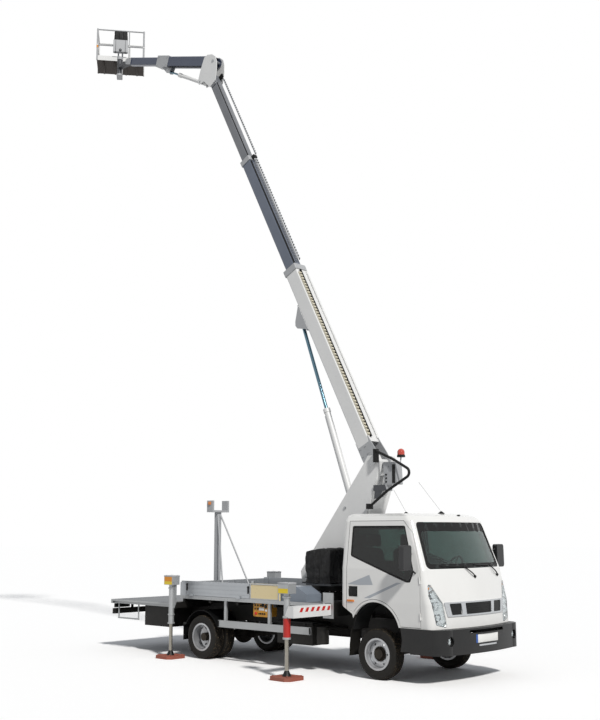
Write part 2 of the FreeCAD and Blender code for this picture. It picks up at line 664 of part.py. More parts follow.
def subframe():
    """Long tubes on the chassis rails, cross bearers under the deck, and the outrigger cross boxes."""
    parts = []
    for _, sign in SIDES:
        lo, hi = sorted((sign * 300, sign * 375))
        parts.append(box(REAR_JACK_X - 60, BEAM_X - 68, lo, hi, RAIL_TOP, 835))
    for x in (-440, 160, 760, 1300):
        parts.append(box(x - 25, x + 25, -880, 880, 835, SUB_TOP))
    parts.append(box(1510, 1570, -880, 880, 835, SUB_TOP))
    parts.append(box(2230, 2290, -880, 880, 835, SUB_TOP))
    # pedestal bed between the tubes
    parts.append(box(1560, 2240, -300, 300, 780, 835))
    # front outrigger box, hollow for both beams, with end flanges
    box_x, half = BEAM_X, BODY_HALF + 20
    sleeve = box(box_x - 70, box_x + 70, -half, half, 770, 960)
    sleeve = sleeve.cut(box(box_x - 58, box_x + 58, -half - 1, half + 1, 782, 948))
    saddle = box(box_x - 60, box_x + 60, -375, 375, RAIL_TOP, 771)
    parts += [sleeve, saddle]
    for y0, y1 in ((-930, -840), (840, 930)):
        parts.append(box(box_x - 40, box_x + 40, y0, y1, 781, 790 - SEAT_GAP))
    for _, sign in SIDES:
        lo, hi = sorted((sign * (half - 14), sign * half))
        flange = box(box_x - 92, box_x + 92, lo, hi, 745, 1085)
        parts.append(flange.cut(box(box_x - 58, box_x + 58, lo - 1, hi + 1, 782, 948)))
    # rear cross box to the fixed jacks
    parts.append(box(REAR_JACK_X - 60, REAR_JACK_X + 60, -REAR_JACK_Y + 45, REAR_JACK_Y - 45, 745, 835))
    for _, sign in SIDES:
        x, y = REAR_JACK_X, sign * REAR_JACK_Y
        parts += jack_head(x, y, 510)
        lo, hi = sorted((y - sign * 50, y - sign * 10))
        plate = box(x - 60, x + 60, lo, hi, 745, 1101)
        parts.append(plate.cut(rod(V(x, y, 700), V(x, y, 1200), JACK_TUBE_R - 1)))
    return fuse(parts)


def jack_head(x, y, bottom):
    """Upright jack barrel with its boxed head; the rod slides inside."""
    shell = tube(V(x, y, bottom), V(x, y, 1105), JACK_TUBE_R, JACK_ROD_R + 4)
    head = box(x - 95, x + 95, y - 75, y + 75, 1100, 1240)
    head = head.cut(rod(V(x, y, 1090), V(x, y, 1200), JACK_ROD_R + 4))
    return [shell, head]




def front_beam(sign):
    """Sliding beam, its jack barrel and the boxed head at its outer end."""
    y = sign * FRONT_JACK_Y
    inner = sign * BEAM_INNER
    lo, hi = sorted((inner, y + sign * 45))
    beam = box(BEAM_X - 50, BEAM_X + 50, lo, hi, 790, 940)
    hollow_lo, hollow_hi = sorted((inner - sign, y - sign * 55))
    beam = beam.cut(box(BEAM_X - 40, BEAM_X + 40, hollow_lo, hollow_hi, 800, 930))
    x = FRONT_JACK_X
    lug_lo, lug_hi = sorted((y - sign * 45, y + sign * 45))
    lug = box(x, BEAM_X - 49, lug_lo, lug_hi, 800, 930).cut(rod(V(x, y, 700), V(x, y, 1100), JACK_TUBE_R - 1))
    return fuse([beam, lug] + jack_head(x, y, 510))


def jack_leg(x, y):
    """Rod, swivel cone and square ground pad."""
    top = 1180
    leg = rod(V(x, y, PAD_T), V(x, y, top - STROKE + 20), JACK_ROD_R)
    cone = Part.makeCone(62, 30, 70, V(x, y, PAD_T), V(0, 0, 1))
    half = PAD_SIZE / 2
    c = 60
    pts = [(x - half + c, y - half), (x + half - c, y - half),
           (x + half, y - half + c), (x + half, y + half - c),
           (x + half - c, y + half), (x - half + c, y + half),
           (x - half, y + half - c), (x - half, y - half + c)]
    pad = plan_plate(pts, 0, PAD_T)
    piston = rod(V(x, y, top - STROKE - 40), V(x, y, top - STROKE + 20), JACK_ROD_R + 4 - RUN_GAP)
    return fuse([leg, cone, pad, piston])


def deck():
    plate = box(DECK_REAR, DECK_FRONT - 12, -BODY_HALF, BODY_HALF, SUB_TOP, DECK_TOP)
    edge_h = 22
    edges = []
    for _, sign in SIDES:
        lo, hi = sorted((sign * (BODY_HALF - 30), sign * BODY_HALF))
        edges.append(box(DECK_REAR, DECK_FRONT - 12, lo, hi, SUB_TOP - edge_h, SUB_TOP))
    plate = fuse([plate] + edges)
    return plate.cut(rod(V(SLEW_X, 0, 800), V(SLEW_X, 0, 1000), SLEW_R + 30)).cut(
        box(BEAM_X - 100, 3000, -2000, 2000, 700, 1100))


def side_board():
    """Right-hand folding side board with ribs and its two hinge barrels."""
    y0 = -BODY_HALF + 4
    board = box(BOARD_REAR, BOARD_FRONT, y0, y0 + BOARD_T, DECK_TOP + 6, DECK_TOP + 6 + BOARD_H)
    for i in range(3):
        z = DECK_TOP + 45 + i * 60
        board = board.cut(box(BOARD_REAR - 5, BOARD_FRONT + 5, y0 - 1, y0 + 5, z, z + 12))
    barrels = []
    for x in (-200, 850):
        barrels.append(rod(V(x - 40, BOARD_AXIS_Y, BOARD_AXIS_Z), V(x + 40, BOARD_AXIS_Y, BOARD_AXIS_Z), 9))
        barrels.append(box(x - 30, x + 30, BOARD_AXIS_Y - 4, y0 + 2, BOARD_AXIS_Z, BOARD_AXIS_Z + 34))
    return fuse([board] + barrels)


BOARD_AXIS_Y, BOARD_AXIS_Z = -BODY_HALF - 12, DECK_TOP


def bed_fittings():
    """Fixed boards, the stowage box beside the turret, hinge lugs and the headboard."""
    parts = []
    parts.append(box(DECK_REAR, DECK_REAR + 26, -924, 924, DECK_TOP, DECK_TOP + 200))
    for _, sign in SIDES:
        lo, hi = sorted((sign * (BODY_HALF - 32), sign * (BODY_HALF - 6)))
        parts.append(box(BOARD_FRONT + 12, 1672, lo, hi, DECK_TOP, DECK_TOP + 228))
        parts.append(box(DECK_REAR + 26 + SEAT_GAP, BOARD_REAR - 8, lo, hi, DECK_TOP, DECK_TOP + 221))
        lo, hi = sorted((sign * (BODY_HALF - 60), sign * (BODY_HALF - 34)))
        parts.append(box(BOARD_FRONT + 12, BOARD_FRONT + 60, lo, hi, DECK_TOP, DECK_TOP + 260))
    # low locker beside the turret, under its turning circle
    top = SLEW_Z + SEAT_GAP + FLOOR_LIFT - SWING_GAP
    locker = [(1420, DECK_TOP), (1420, top - 30), (1460, top), (1960, top), (2150, top - 100),
              (2150, DECK_TOP)]
    parts.append(side_plate(locker, -870, -560))
    return Part.makeCompound([s for p in parts for s in p.Solids])


def boom_rest():
    """Post with a cradle for the lowered boom and two slanting stays."""
    x = -640
    base = PLATFORM_TOP
    post = box(x - 40, x + 40, -40, 40, base, 2230)
    plate = box(x - 90, x + 90, -90, 90, base, base + 12)
    cradle = fuse([box(x - 70, x + 70, -185, 185, 2230, 2262),
                   box(x - 70, x + 70, -185, -150, 2262, 2420), box(x - 70, x + 70, 150, 185, 2262, 2420)])
    stays = []
    for foot_x, foot_y in ((-330, -150), (40, 150)):
        stays.append(rod(V(x + 30, foot_y * 0.2, 2190), V(foot_x, foot_y, DECK_TOP - 4), 13))
    shape = fuse([post, plate, cradle] + stays)
    return shape.cut(box(-480, 400, -400, 400, 800, DECK_TOP))


def rear_platform():
    top = box(PLATFORM_REAR, PLATFORM_FRONT, -BODY_HALF, BODY_HALF, PLATFORM_TOP - 26, PLATFORM_TOP)
    parts = [top]
    under = PLATFORM_TOP - 26
    for y in (-850, -337, 337, 850):
        parts.append(box(PLATFORM_REAR + 20, PLATFORM_FRONT - 40, y - 30, y + 30, RAIL_TOP, under))
    parts.append(box(PLATFORM_REAR, PLATFORM_REAR + 40, -BODY_HALF, BODY_HALF, under - 40, under))
    for y in (-850, 850):
        for x in (-2120, -1600):
            parts.append(rod(V(x, y, PLATFORM_TOP - 60), V(x, y, 500), 12))
        parts.append(rod(V(-2132, y, 500), V(-1588, y, 500), 12))
    return fuse(parts)


def guards():
    """Side guard bars under the deck and the rear mudguards with their flaps."""
    parts = []
    for _, sign in SIDES:
        lo, hi = sorted((sign * 895, sign * 925))
        parts.append(box(395, 2270, lo, hi, 500, 600))
        for x in (520, 1440):
            lo, hi = sorted((sign * 865, sign * 895))
            parts.append(box(x - 25, x + 25, lo, hi, 520, SUB_TOP))
    for _, sign in SIDES:
        lo, hi = sorted((sign * 470, sign * 905))
        guard = tube(V(0, lo, TYRE_R), V(0, hi, TYRE_R), 400, 394)
        guard = guard.common(box(-420, 420, lo, hi, TYRE_R + 170, 760))
        flap = box(-415, -405, lo, hi, 260, TYRE_R + 200)
        tie = box(-410, -340, lo, hi, TYRE_R + 165, TYRE_R + 200)
        tie = tie.cut(rod(V(0, lo - 1, TYRE_R), V(0, hi + 1, TYRE_R), 398))
        lo, hi = sorted((sign * (FRAME_W / 2 + SEAT_GAP), sign * 500))
        stay = box(-25, 25, lo, hi, 700, 722)
        parts.append(fuse([guard, flap, tie, stay]))
    return Part.makeCompound([s for p in parts for s in p.Solids])


TIE = FRAME_W / 2 + SEAT_GAP    # inner ends of the ties that reach the chassis rails


def tanks():
    """Fuel tank on the left, battery and air bottles on the right, hung from the rails."""
    parts = [rounded_front([(440, 340), (800, 340), (800, 640), (440, 640)], 50, 1150, 2050),
             box(1300, 1360, TIE, 445, 575, 640), box(1850, 1910, TIE, 445, 575, 640)]
    left = fuse(parts)
    bottle = rod(V(2390, -800, 380), V(2390, -800, 610), 82)
    shelf = box(2300, 2480, -800, -TIE, 570, 600)
    battery = box(1500, 2180, -780, -430, 340, 640)
    right = fuse([bottle, shelf, battery, box(1600, 1660, -431, -TIE, 575, 640),
                  box(2020, 2080, -431, -TIE, 575, 640)])
    rear_box = box(-1430, -800, -850, -400, 420, PLATFORM_TOP - 66.3)
    rear_box = fuse([rear_box, box(-1300, -1240, -401, -TIE, 600, 680),
                     box(-1000, -940, -401, -TIE, 600, 680)])
    return Part.makeCompound(left.Solids + right.Solids + rear_box.Solids + mirrored(rear_box).Solids)


def control_box():
    case = rounded_side([(1110, 690), (1410, 690), (1410, 884), (1110, 884)], 18, -885, -700)
    hanger = box(1180, 1340, -760, -705, 880, SUB_TOP)
    return fuse([case, hanger]).cut(box(1270, 1330, -900, -650, 834, SUB_TOP + 1))


# ---------------------------------------------------------------- turret
def slew_base():
    ped = tube(V(SLEW_X, 0, 835), V(SLEW_X, 0, SLEW_Z - 70), 290, 220)
    ring = tube(V(SLEW_X, 0, SLEW_Z - 70), V(SLEW_X, 0, SLEW_Z), SLEW_R, 220)
    return fuse([ped, ring])


ARM_IN, ARM_OUT = 135, 212      # inner and outer faces of the turret's arms


def turret():
    base_z = SLEW_Z + SEAT_GAP
    floor_z = base_z + FLOOR_LIFT
    disc = rod(V(SLEW_X, 0, base_z), V(SLEW_X, 0, base_z + 45), SLEW_R)
    floor = plan_plate([(1460, -215), (1460, 215), (2330, 215), (2330, -560), (1850, -560), (1850, -215)],
                       floor_z, base_z + 45)
    outline = [(1460, floor_z), (1430, 1330), (2660, 2868), (2740, 2985), (2905, 2990), (2950, 2900),
               (2890, 2640), (2700, 2150), (2450, 1600), (2330, floor_z)]
    arm = side_plate(outline, -ARM_OUT, -ARM_IN)
    pocket = [(1620, 1300), (2580, 2700), (2760, 2720), (2620, 2250), (2330, 1600), (2220, 1300)]
    arm = arm.cut(side_plate(pocket, -ARM_OUT + 12, -ARM_IN + 1))
    arms = both(arm)
    pin = rod(PIVOT + V(0, -ARM_OUT - 14, 0), PIVOT + V(0, ARM_OUT + 14, 0), 32)
    collars = [rod(PIVOT + V(0, s * ARM_OUT, 0), PIVOT + V(0, s * (ARM_OUT + 14), 0), 62) for s in (-1, 1)]
    foot_pin = rod(LIFT_FOOT + V(0, -ARM_OUT - 8, 0), LIFT_FOOT + V(0, ARM_OUT + 8, 0), 22)
    foot_bosses = []
    for s in (-1, 1):
        lo, hi = sorted((s * ARM_OUT, s * 62))
        foot_bosses.append(rod(V(LIFT_FOOT.x, lo, LIFT_FOOT.z), V(LIFT_FOOT.x, hi, LIFT_FOOT.z), 55))
        lo, hi = sorted((s * ARM_OUT, s * (ARM_IN - 8)))
        foot_bosses.append(rod(V(PIVOT.x, lo, PIVOT.z), V(PIVOT.x, hi, PIVOT.z), 70))
    front = side_plate([(2330, floor_z), (2450, 1600), (2700, 2150), (2800, 2400),
                        (2740, 2440), (2640, 2180), (2390, 1620), (2270, floor_z)], -ARM_IN, ARM_IN)
    back = side_plate([(1460, floor_z), (1430, 1330), (1700, 1670),
                       (1722, 1650), (1462, 1322), (1490, floor_z)], -ARM_IN, ARM_IN)
    return fuse([disc, floor, pin, foot_pin, front, back] + arms + collars + foot_bosses)


def turret_console():
    """Emergency control box, valve block and lamp bracket on the turret's head."""
    out = -ARM_OUT - SEAT_GAP
    case = rounded_side([(3060, 2560), (3040, 2880), (3262, 2870), (3280, 2560)], 16, -240, -100)
    case = case.cut(box(3120, 3180, -250, -230, 2740, 2820))
    valve = box(2860, 3100, -240, -110, 2478, 2561)
    valve = valve.cut(box(2700, 2910, out, 0, 2400, 2700))
    flap = side_plate([(2868, 2366), (2880, 2480), (3010, 2480), (2950, 2380)], -236, out - 6)
    base = V(3254, -100, 0)
    stalk = rod(base + V(0, -20, 2860), base + V(0, 0, 2950), 9)
    dome = fuse([rod(base + V(0, 0, 2945), base + V(0, 0, 2968), 58),
                 rod(base + V(0, 0, 2968), base + V(0, 0, 3020), 52),
                 Part.makeSphere(52, base + V(0, 0, 3015))])
    return fuse([case, valve, flap, stalk, dome])


def turret_cover():
    """Covered power pack that stands on the turret's floor outside its right arm."""
    top = [(1824, 1640), (2200, 1700), (2360, 1700)]
    foot_z = SLEW_Z + SEAT_GAP + 45 + SEAT_GAP
    body = rounded_side([(1850, foot_z), (1820, 1500)] + top + [(2340, foot_z)], 18, -600, -ARM_OUT - 20)
    return body


def hose_loop():
    """Hoses and cables in a bundle from the turret's front over to the boom's foot."""
    y = -ARM_OUT - 62
    pts = [V(2790, y, 2240), V(3130, y, 2470), V(3598, y, 2714), V(3240, y, 2912), V(2918, y, 3050)]
    hose = swept(pts, 19, (120, 70, 150))
    low = box(2770, 2830, y - 24, -ARM_OUT - SEAT_GAP, 2225, 2300)
    high = box(2906, 2946, y - 24, -ARM_OUT - SEAT_GAP, 2880, 3070)
    return fuse([hose, low, high])


def swept(points, radius, bends):
    """Round bar along straight runs joined by arcs at the inner points."""
    edges = []
    here = points[0]
    for i in range(1, len(points) - 1):
        p = points[i]
        a = (points[i - 1] - p).normalize()
        b = (points[i + 1] - p).normalize()
        half = a.getAngle(b) / 2
        bend = bends[i - 1]
        reach = bend / math.tan(half)
        mid = p + (a + b).normalize() * (bend / math.sin(half) - bend)
        start, end = p + a * reach, p + b * reach
        edges.append(Part.LineSegment(here, start).toShape())
        edges.append(Part.Arc(start, mid, end).toShape())
        here = end
    edges.append(Part.LineSegment(here, points[-1]).toShape())
    path = Part.Wire(edges)
    direction = (points[1] - points[0]).normalize()
    ring = Part.Wire([Part.makeCircle(radius, points[0], direction)])
    return path.makePipeShell([ring], True, False)


# ---------------------------------------------------------------- boom
# Boom pieces are drawn with the boom lying along -X from the pivot at the origin: t is the distance from
# the pivot along the boom, d the distance below the pivot.  placed() then lifts them to the standing angle.
def placed(shape):
    result = shape.copy()
    result.rotate(V(0, 0, 0), V(0, 1, 0), BOOM_ELEV)
    result.translate(PIVOT)
    return result


def boom_point(t, d):
    """Standing place of a point of the boom."""
    e = math.radians(BOOM_ELEV)
    return PIVOT + V(-t * math.cos(e) - d * math.sin(e), 0, t * math.sin(e) - d * math.cos(e))


def section(index, t0, t1, wall):
    """Boom section: rounded box beam, open at both ends."""
    w, h = BOOM_W[index], BOOM_H[index]
    def prism(inset, radius, a, b):
        hw, hh = w / 2 - inset, h / 2 - inset
        pts = [V(-a, -hw, -AXIS_DROP - hh), V(-a, hw, -AXIS_DROP - hh), V(-a, hw, -AXIS_DROP + hh),
               V(-a, -hw, -AXIS_DROP + hh)]
        return Part.Face(rounded(pts, radius)).extrude(V(a - b, 0, 0))
    outer = prism(0, 24, t0, t1)
    return outer.cut(prism(wall, 18, t0 - 1, t1 + 1))


def boom_base():
    w, h = BOOM_W[0], BOOM_H[0]
    parts = [section(0, 330, BASE_END, BOOM_WALL)]
    # foot: two cheek plates round the pivot pin, with a web between them
    for _, s in SIDES:
        lo, hi = sorted((s * (w / 2 - 1), s * (w / 2 - 15)))
        cheek = side_plate([(70, 30), (60, -70), (-20, -AXIS_DROP - h / 2 + 6), (-420, -AXIS_DROP - h / 2),
                            (-420, -AXIS_DROP + h / 2 + 4), (-120, 60), (20, 66)], lo, hi)
        parts.append(cheek)
        lo, hi = sorted((s * (w / 2 + 4), s * (w / 2 - 30)))
        parts.append(rod(V(0, lo, 0), V(0, hi, 0), 66))
    parts.append(box(-400, -120, -w / 2 + 2, w / 2 - 2, -AXIS_DROP - h / 2, -AXIS_DROP - h / 2 + 12))
    parts.append(end_collar(0, BASE_END, 90, 10, 14))
    # wear pads in the mouth carry the middle section
    parts += wear_pads(0, BASE_END - 60, BASE_END)
    # bracket for the lift cylinder: two cheeks flush with the section's sides and a boss on each
    low = AXIS_DROP + LIFT_PIN_D
    for _, s in SIDES:
        lo, hi = sorted((s * (w / 2 - 14), s * w / 2))
        parts.append(side_plate([(-2953, -AXIS_DROP - h / 2 + 6), (-2750, -low - 26), (-2690, -low - 54),
                                 (-2630, -low - 40), (-2489, -AXIS_DROP - h / 2 + 6)], lo, hi))
        lo, hi = sorted((s * (w / 2 - 2), s * 51))
        parts.append(rod(V(-LIFT_PIN_T, lo, -low), V(-LIFT_PIN_T, hi, -low), 40))
    # flanges along the bracket's foot, open in the middle where the rod's eye swings
    for lo, hi in ((-w / 2 + 4, -62), (62, w / 2 - 4)):
        parts.append(box(-2960, -2480, lo, hi, -AXIS_DROP - h / 2 - 12, -AXIS_DROP - h / 2 + 4))
    shape = fuse(parts)
    return placed(shape.cut(rod(V(0, -200, 0), V(0, 200, 0), 32 + RUN_GAP)))


def end_collar(index, end, length, over, proud):
    """Band round the mouth of a boom section, over past its end and proud of its sides."""
    w, h = BOOM_W[index], BOOM_H[index]

    def loop(x, grow, radius):
        hw, hh = w / 2 + grow, h / 2 + grow
        corners = [V(x, -hw, -AXIS_DROP - hh), V(x, hw, -AXIS_DROP - hh),
                   V(x, hw, -AXIS_DROP + hh), V(x, -hw, -AXIS_DROP + hh)]
        return Part.Face(rounded(corners, radius))

    band = loop(-end + length, proud, 20).extrude(V(-length - over, 0, 0))
    return band.cut(loop(-end + length + 5, -4, 16).extrude(V(-length - over - 10, 0, 0)))


def wear_pads(index, t0, t1):
    """Blocks between a section's inside and the next section, with sliding clearance."""
    w, h = BOOM_W[index], BOOM_H[index]
    wn, hn = BOOM_W[index + 1], BOOM_H[index + 1]
    pads = []
    for _, s in SIDES:
        lo, hi = sorted((s * (wn / 2 + SEAT_GAP), s * (w / 2 - 2)))
        pads.append(box(-t1, -t0, lo, hi, -AXIS_DROP - 40, -AXIS_DROP + 40))
    pads.append(box(-t1, -t0, -50, 50, -AXIS_DROP + hn / 2 + SEAT_GAP, -AXIS_DROP + h / 2 - 2))
    pads.append(box(-t1, -t0, -50, 50, -AXIS_DROP - h / 2 + 2, -AXIS_DROP - hn / 2 - SEAT_GAP))
    return pads


def boom_mid():
    parts = [section(1, MID_TAIL, MID_END, 7)]
    parts.append(end_collar(1, MID_END, 80, 10, 12))
    parts += wear_pads(1, MID_END - 55, MID_END)
    return placed(fuse(parts))


def boom_inner():
    """Inner section and the head plates that carry the jib and its cylinder."""
    parts = [section(2, INNER_TAIL, INNER_END, 6)]
    h = BOOM_H[2]
    for _, s in SIDES:
        lo, hi = sorted((s * 85, s * 99))
        outline = [(7780, 80), (8000, 150), (8040, JIB_CYL_D + 45), (8110, JIB_CYL_D + 40), (8234, 150),
                   (8310, 60), (8400, -60), (8380, -150), (8300, -240), (8200, -285),
                   (8100, -270), (7960, -200), (7800, -80)]
        parts.append(side_plate([(-t, -AXIS_DROP - d) for t, d in outline], lo, hi))
        lo, hi = sorted((s * 74, s * 86))
        parts.append(box(-INNER_END + 10, -INNER_END + 220, lo, hi, -AXIS_DROP - 60, -AXIS_DROP + 55))
    for t, d, half, radius in ((JIB_PIVOT_T, JIB_PIVOT_D, 108, 24), (JIB_CYL_T, JIB_CYL_D, 106, 17)):
        parts.append(rod(V(-t, -half, -AXIS_DROP - d), V(-t, half, -AXIS_DROP - d), radius))
    return placed(fuse(parts))


JIB_CYL_T, JIB_CYL_D = 8070, 235    # jib cylinder's foot on the boom head


# ---------------------------------------------------------------- lift cylinder
def cylinder_barrel(foot, eye, length, outer, inner, eye_half, eye_bore, eye_r):
    axis = (eye - foot).normalize()
    body = rod(foot + axis * (eye_r * 0.6), foot + axis * length, outer)
    gland = rod(foot + axis * (length - 60), foot + axis * length, outer + 8)
    lug = rod(foot - V(0, eye_half, 0), foot + V(0, eye_half, 0), eye_r)
    shape = fuse([body, gland, lug])
    shape = shape.cut(rod(foot + axis * (eye_r + 30), foot + axis * (length + 5), inner + RUN_GAP))
    return shape.cut(rod(foot - V(0, eye_half + 5, 0), foot + V(0, eye_half + 5, 0), eye_bore + RUN_GAP))


def cylinder_rod(foot, eye, length, radius, piston_r, eye_half, eye_r):
    axis = (eye - foot).normalize()
    tail = eye - axis * length
    head = rod(eye - V(0, eye_half, 0), eye + V(0, eye_half, 0), eye_r)
    return fuse([rod(tail, eye, radius), rod(tail, tail + axis * 60, piston_r), head])


def lift_cylinder():
    eye = boom_point(LIFT_PIN_T, AXIS_DROP + LIFT_PIN_D)
    barrel = cylinder_barrel(LIFT_FOOT, eye, LIFT_BARREL_L, LIFT_BARREL_R, LIFT_BARREL_R - 8, 55, 22, 46)
    inner = LIFT_BARREL_R - 8
    gland = LIFT_FOOT + (eye - LIFT_FOOT).normalize() * (LIFT_BARREL_L - 40)
    lid = rod(gland, gland + (eye - LIFT_FOOT).normalize() * 40, inner + 2)
    bore_start, bore_end = gland - (eye - LIFT_FOOT) * 0.01, gland + (eye - LIFT_FOOT) * 0.05
    lid = lid.cut(rod(bore_start, bore_end, LIFT_ROD_R + RUN_GAP))
    save("lift_cylinder_barrel", fuse([barrel, lid]))
    save("lift_cylinder_rod", cylinder_rod(LIFT_FOOT, eye, LIFT_ROD_L, LIFT_ROD_R, inner - 1, 45, 39))


# ---------------------------------------------------------------- jib
# Jib pieces are drawn lying along -X from the jib pivot at the origin.
def jib_placed(shape):
    result = shape.copy()
    result.rotate(V(0, 0, 0), V(0, 1, 0), JIB_ELEV)
    result.translate(boom_point(JIB_PIVOT_T, AXIS_DROP + JIB_PIVOT_D))
    return result


def jib_point(t, d):
    e = math.radians(JIB_ELEV)
    return boom_point(JIB_PIVOT_T, AXIS_DROP + JIB_PIVOT_D) + V(
        -t * math.cos(e) - d * math.sin(e), 0, t * math.sin(e) - d * math.cos(e))


JIB_EYE_T, JIB_EYE_D = 1300, 178


def jib_section(index, t0, t1, wall):
    w, h = JIB_W[index], JIB_H[index]
    mid = JIB_INNER_UP * index
    def prism(inset, radius, a, b):
        hw, hh = w / 2 - inset, h / 2 - inset
        pts = [V(-a, -hw, mid - hh), V(-a, hw, mid - hh), V(-a, hw, mid + hh), V(-a, -hw, mid + hh)]
        return Part.Face(rounded(pts, radius)).extrude(V(a - b, 0, 0))
    return prism(0, 16, t0, t1).cut(prism(wall, 10, t0 - 1, t1 + 1))


def jib_outer():
    w, h = JIB_W[0], JIB_H[0]
    parts = [jib_section(0, 60, JIB_OUTER_L, 7)]
    for _, s in SIDES:
        lo, hi = sorted((s * (w / 2 - 1), s * (w / 2 - 11)))
        top, low = h / 2 - 2, -h / 2 + 2
        cheek = [(45, 30), (45, -35), (-30, low), (-160, low), (-160, top), (-20, top)]
        parts.append(side_plate(cheek, lo, hi))
        lo, hi = sorted((s * 38, s * 52))
        bracket = [(-JIB_EYE_T + 60, -h / 2 + 3), (-JIB_EYE_T - 240, -h / 2 + 3),
                   (-JIB_EYE_T - 40, -JIB_EYE_D - 34), (-JIB_EYE_T + 30, -JIB_EYE_D - 34)]
        parts.append(side_plate(bracket, lo, hi))
        lo, hi = sorted((s * (w / 2 + 5), s * (w / 2 - 11)))
        parts.append(rod(V(0, lo, 0), V(0, hi, 0), 44))
    end = JIB_OUTER_L
    collar = box(-end, -end + JIB_COLLAR_L, -w / 2 - 12, w / 2 + 12, -h / 2 - 12, h / 2 + 12)
    collar = collar.cut(box(-end - 5, -end + JIB_COLLAR_L + 5, -w / 2 + 3, w / 2 - 3, -h / 2 + 3, h / 2 - 3))
    parts.append(collar)
    wn, hn = JIB_W[1], JIB_H[1]
    for _, s in SIDES:
        lo, hi = sorted((s * (wn / 2 + SEAT_GAP), s * (w / 2 - 2)))
        parts.append(box(-end, -end + 50, lo, hi, -35, 35))
        lo, hi = sorted((JIB_INNER_UP + s * (hn / 2 + SEAT_GAP), s * (h / 2 - 2)))
        parts.append(box(-end, -end + 50, -35, 35, lo, hi))
    shape = fuse(parts)
    return jib_placed(shape.cut(rod(V(0, -200, 0), V(0, 200, 0), 24 + RUN_GAP)))


LEVEL_R = 18


def jib_inner():
    w, h = JIB_W[1], JIB_H[1]
    parts = [jib_section(1, JIB_REACH - JIB_INNER_L, JIB_REACH - 110, 6)]
    for _, s in SIDES:
        lo, hi = sorted((s * (w / 2 + 10), s * (w / 2 - 2)))
        top, low = JIB_INNER_UP + h / 2 - 5, JIB_INNER_UP - h / 2 + 5
        parts.append(side_plate([(-JIB_REACH + 150, top), (-JIB_REACH + 150, low), (-JIB_REACH - 10, -48),
                                 (-JIB_REACH - 45, 0), (-JIB_REACH - 10, 60)], lo, hi))
    parts.append(rod(V(-JIB_REACH, -w / 2 - 20, 0), V(-JIB_REACH, w / 2 + 20, 0), LEVEL_R))
    return jib_placed(fuse(parts))


def jib_cylinder():
    foot = boom_point(JIB_CYL_T, AXIS_DROP + JIB_CYL_D)
    eye = jib_point(JIB_EYE_T, JIB_EYE_D)
    reach = (eye - foot).Length
    barrel_l = 780
    axis = (eye - foot).normalize()
    barrel = cylinder_barrel(foot, eye, barrel_l, 34, 27, 40, 17, 34)
    gland = foot + axis * (barrel_l - 25)
    lid = rod(gland, gland + axis * 25, 29).cut(rod(gland - axis * 5, gland + axis * 40, 17 + RUN_GAP))
    save("jib_cylinder_barrel", fuse([barrel, lid]))
    save("jib_cylinder_rod", cylinder_rod(foot, eye, 820, 17, 26, 30, 24))


# ---------------------------------------------------------------- basket
def level_point():
    return jib_point(JIB_REACH, 0)


def basket_placed(shape):
    """Basket pieces are drawn round the upright's axis at the origin, with the basket square to the jib."""
    result = shape.copy()
    result.rotate(V(0, 0, 0), V(0, 0, 1), BASKET_TURN)
    result.translate(level_point() + V(-UPRIGHT_X, 0, 0))
    return result


POST_HALF = 150         # half height of the upright
UPRIGHT_X = 300         # from the levelling pivot to the basket's upright


def rotator():
    """Levelling fork on the jib's end with the upright that the basket turns on."""
    p = level_point()
    w = JIB_W[1]
    cheek = w / 2 - 10
    hub = rod(p - V(0, cheek, 0), p + V(0, cheek, 0), 36)
    arm = box(p.x - UPRIGHT_X, p.x, -cheek, cheek, p.z - 36, p.z + 36)
    post = rod(V(p.x - UPRIGHT_X, 0, p.z - POST_HALF), V(p.x - UPRIGHT_X, 0, p.z + POST_HALF), 45)
    shape = fuse([hub, arm, post])
    return shape.cut(rod(p - V(0, 200, 0), p + V(0, 200, 0), LEVEL_R + RUN_GAP))


BASKET_FLOOR = 205      # underside of the basket's floor above the levelling pivot
TOE_BOARD_H = 100
BASKET_NEAR = 170       # near face of the basket from the upright's axis
BASKET_MID_RAIL = 325   # mid rail above the floor


def basket():
    """Tubular work basket with a plate floor, toe boards and the two brackets round the upright."""
    near, far = -BASKET_NEAR, -BASKET_NEAR - BASKET_D
    hw = BASKET_W / 2
    r = BASKET_TUBE_R
    z0, z1 = BASKET_FLOOR, BASKET_FLOOR + BASKET_H
    corners = [(near, -hw), (near, hw), (far, hw), (far, -hw)]
    parts = [box(far, near, -hw, hw, z0, z0 + 8)]
    for z in (z0 + BASKET_MID_RAIL, z1 - r):
        for i, (x, y) in enumerate(corners):
            nx, ny = corners[(i + 1) % 4]
            parts.append(rod(V(x, y, z), V(nx, ny, z), r - 3))
    for x, y in corners:
        parts.append(rod(V(x, y, z0), V(x, y, z1), r))
    for x in (far, near):
        parts.append(rod(V(x, 170, z0), V(x, 170, z1 - r), r - 5))
    t = 5
    for a0, a1, b0, b1 in ((far, near, -hw - t, -hw), (far, near, hw, hw + t),
                           (far - t, far, -hw, hw), (near, near + t, -hw, hw)):
        parts.append(box(a0, a1, b0, b1, z0, z0 + TOE_BOARD_H))
    # hangers down the near side, the motor's case on them, and a bracket above and below the upright
    low = -POST_HALF - SEAT_GAP
    for y in (-40, 40):
        parts.append(box(near - 2, near + 8, y - 15, y + 15, low - 38, z0 + BASKET_MID_RAIL))
    parts.append(rounded_front([(-145, z0 + 165), (145, z0 + 165), (145, z0 + 415), (-145, z0 + 415)], 20,
                               near + 6, near + 96))
    for z_lo, z_hi, back in ((low - 38, low, near - 5), (POST_HALF + SEAT_GAP, z0 + 1, near - 200)):
        parts.append(box(back, 0, -55, 55, z_lo, z_hi))
        parts.append(rod(V(0, 0, z_lo), V(0, 0, z_hi), 58))
    return basket_placed(fuse(parts))


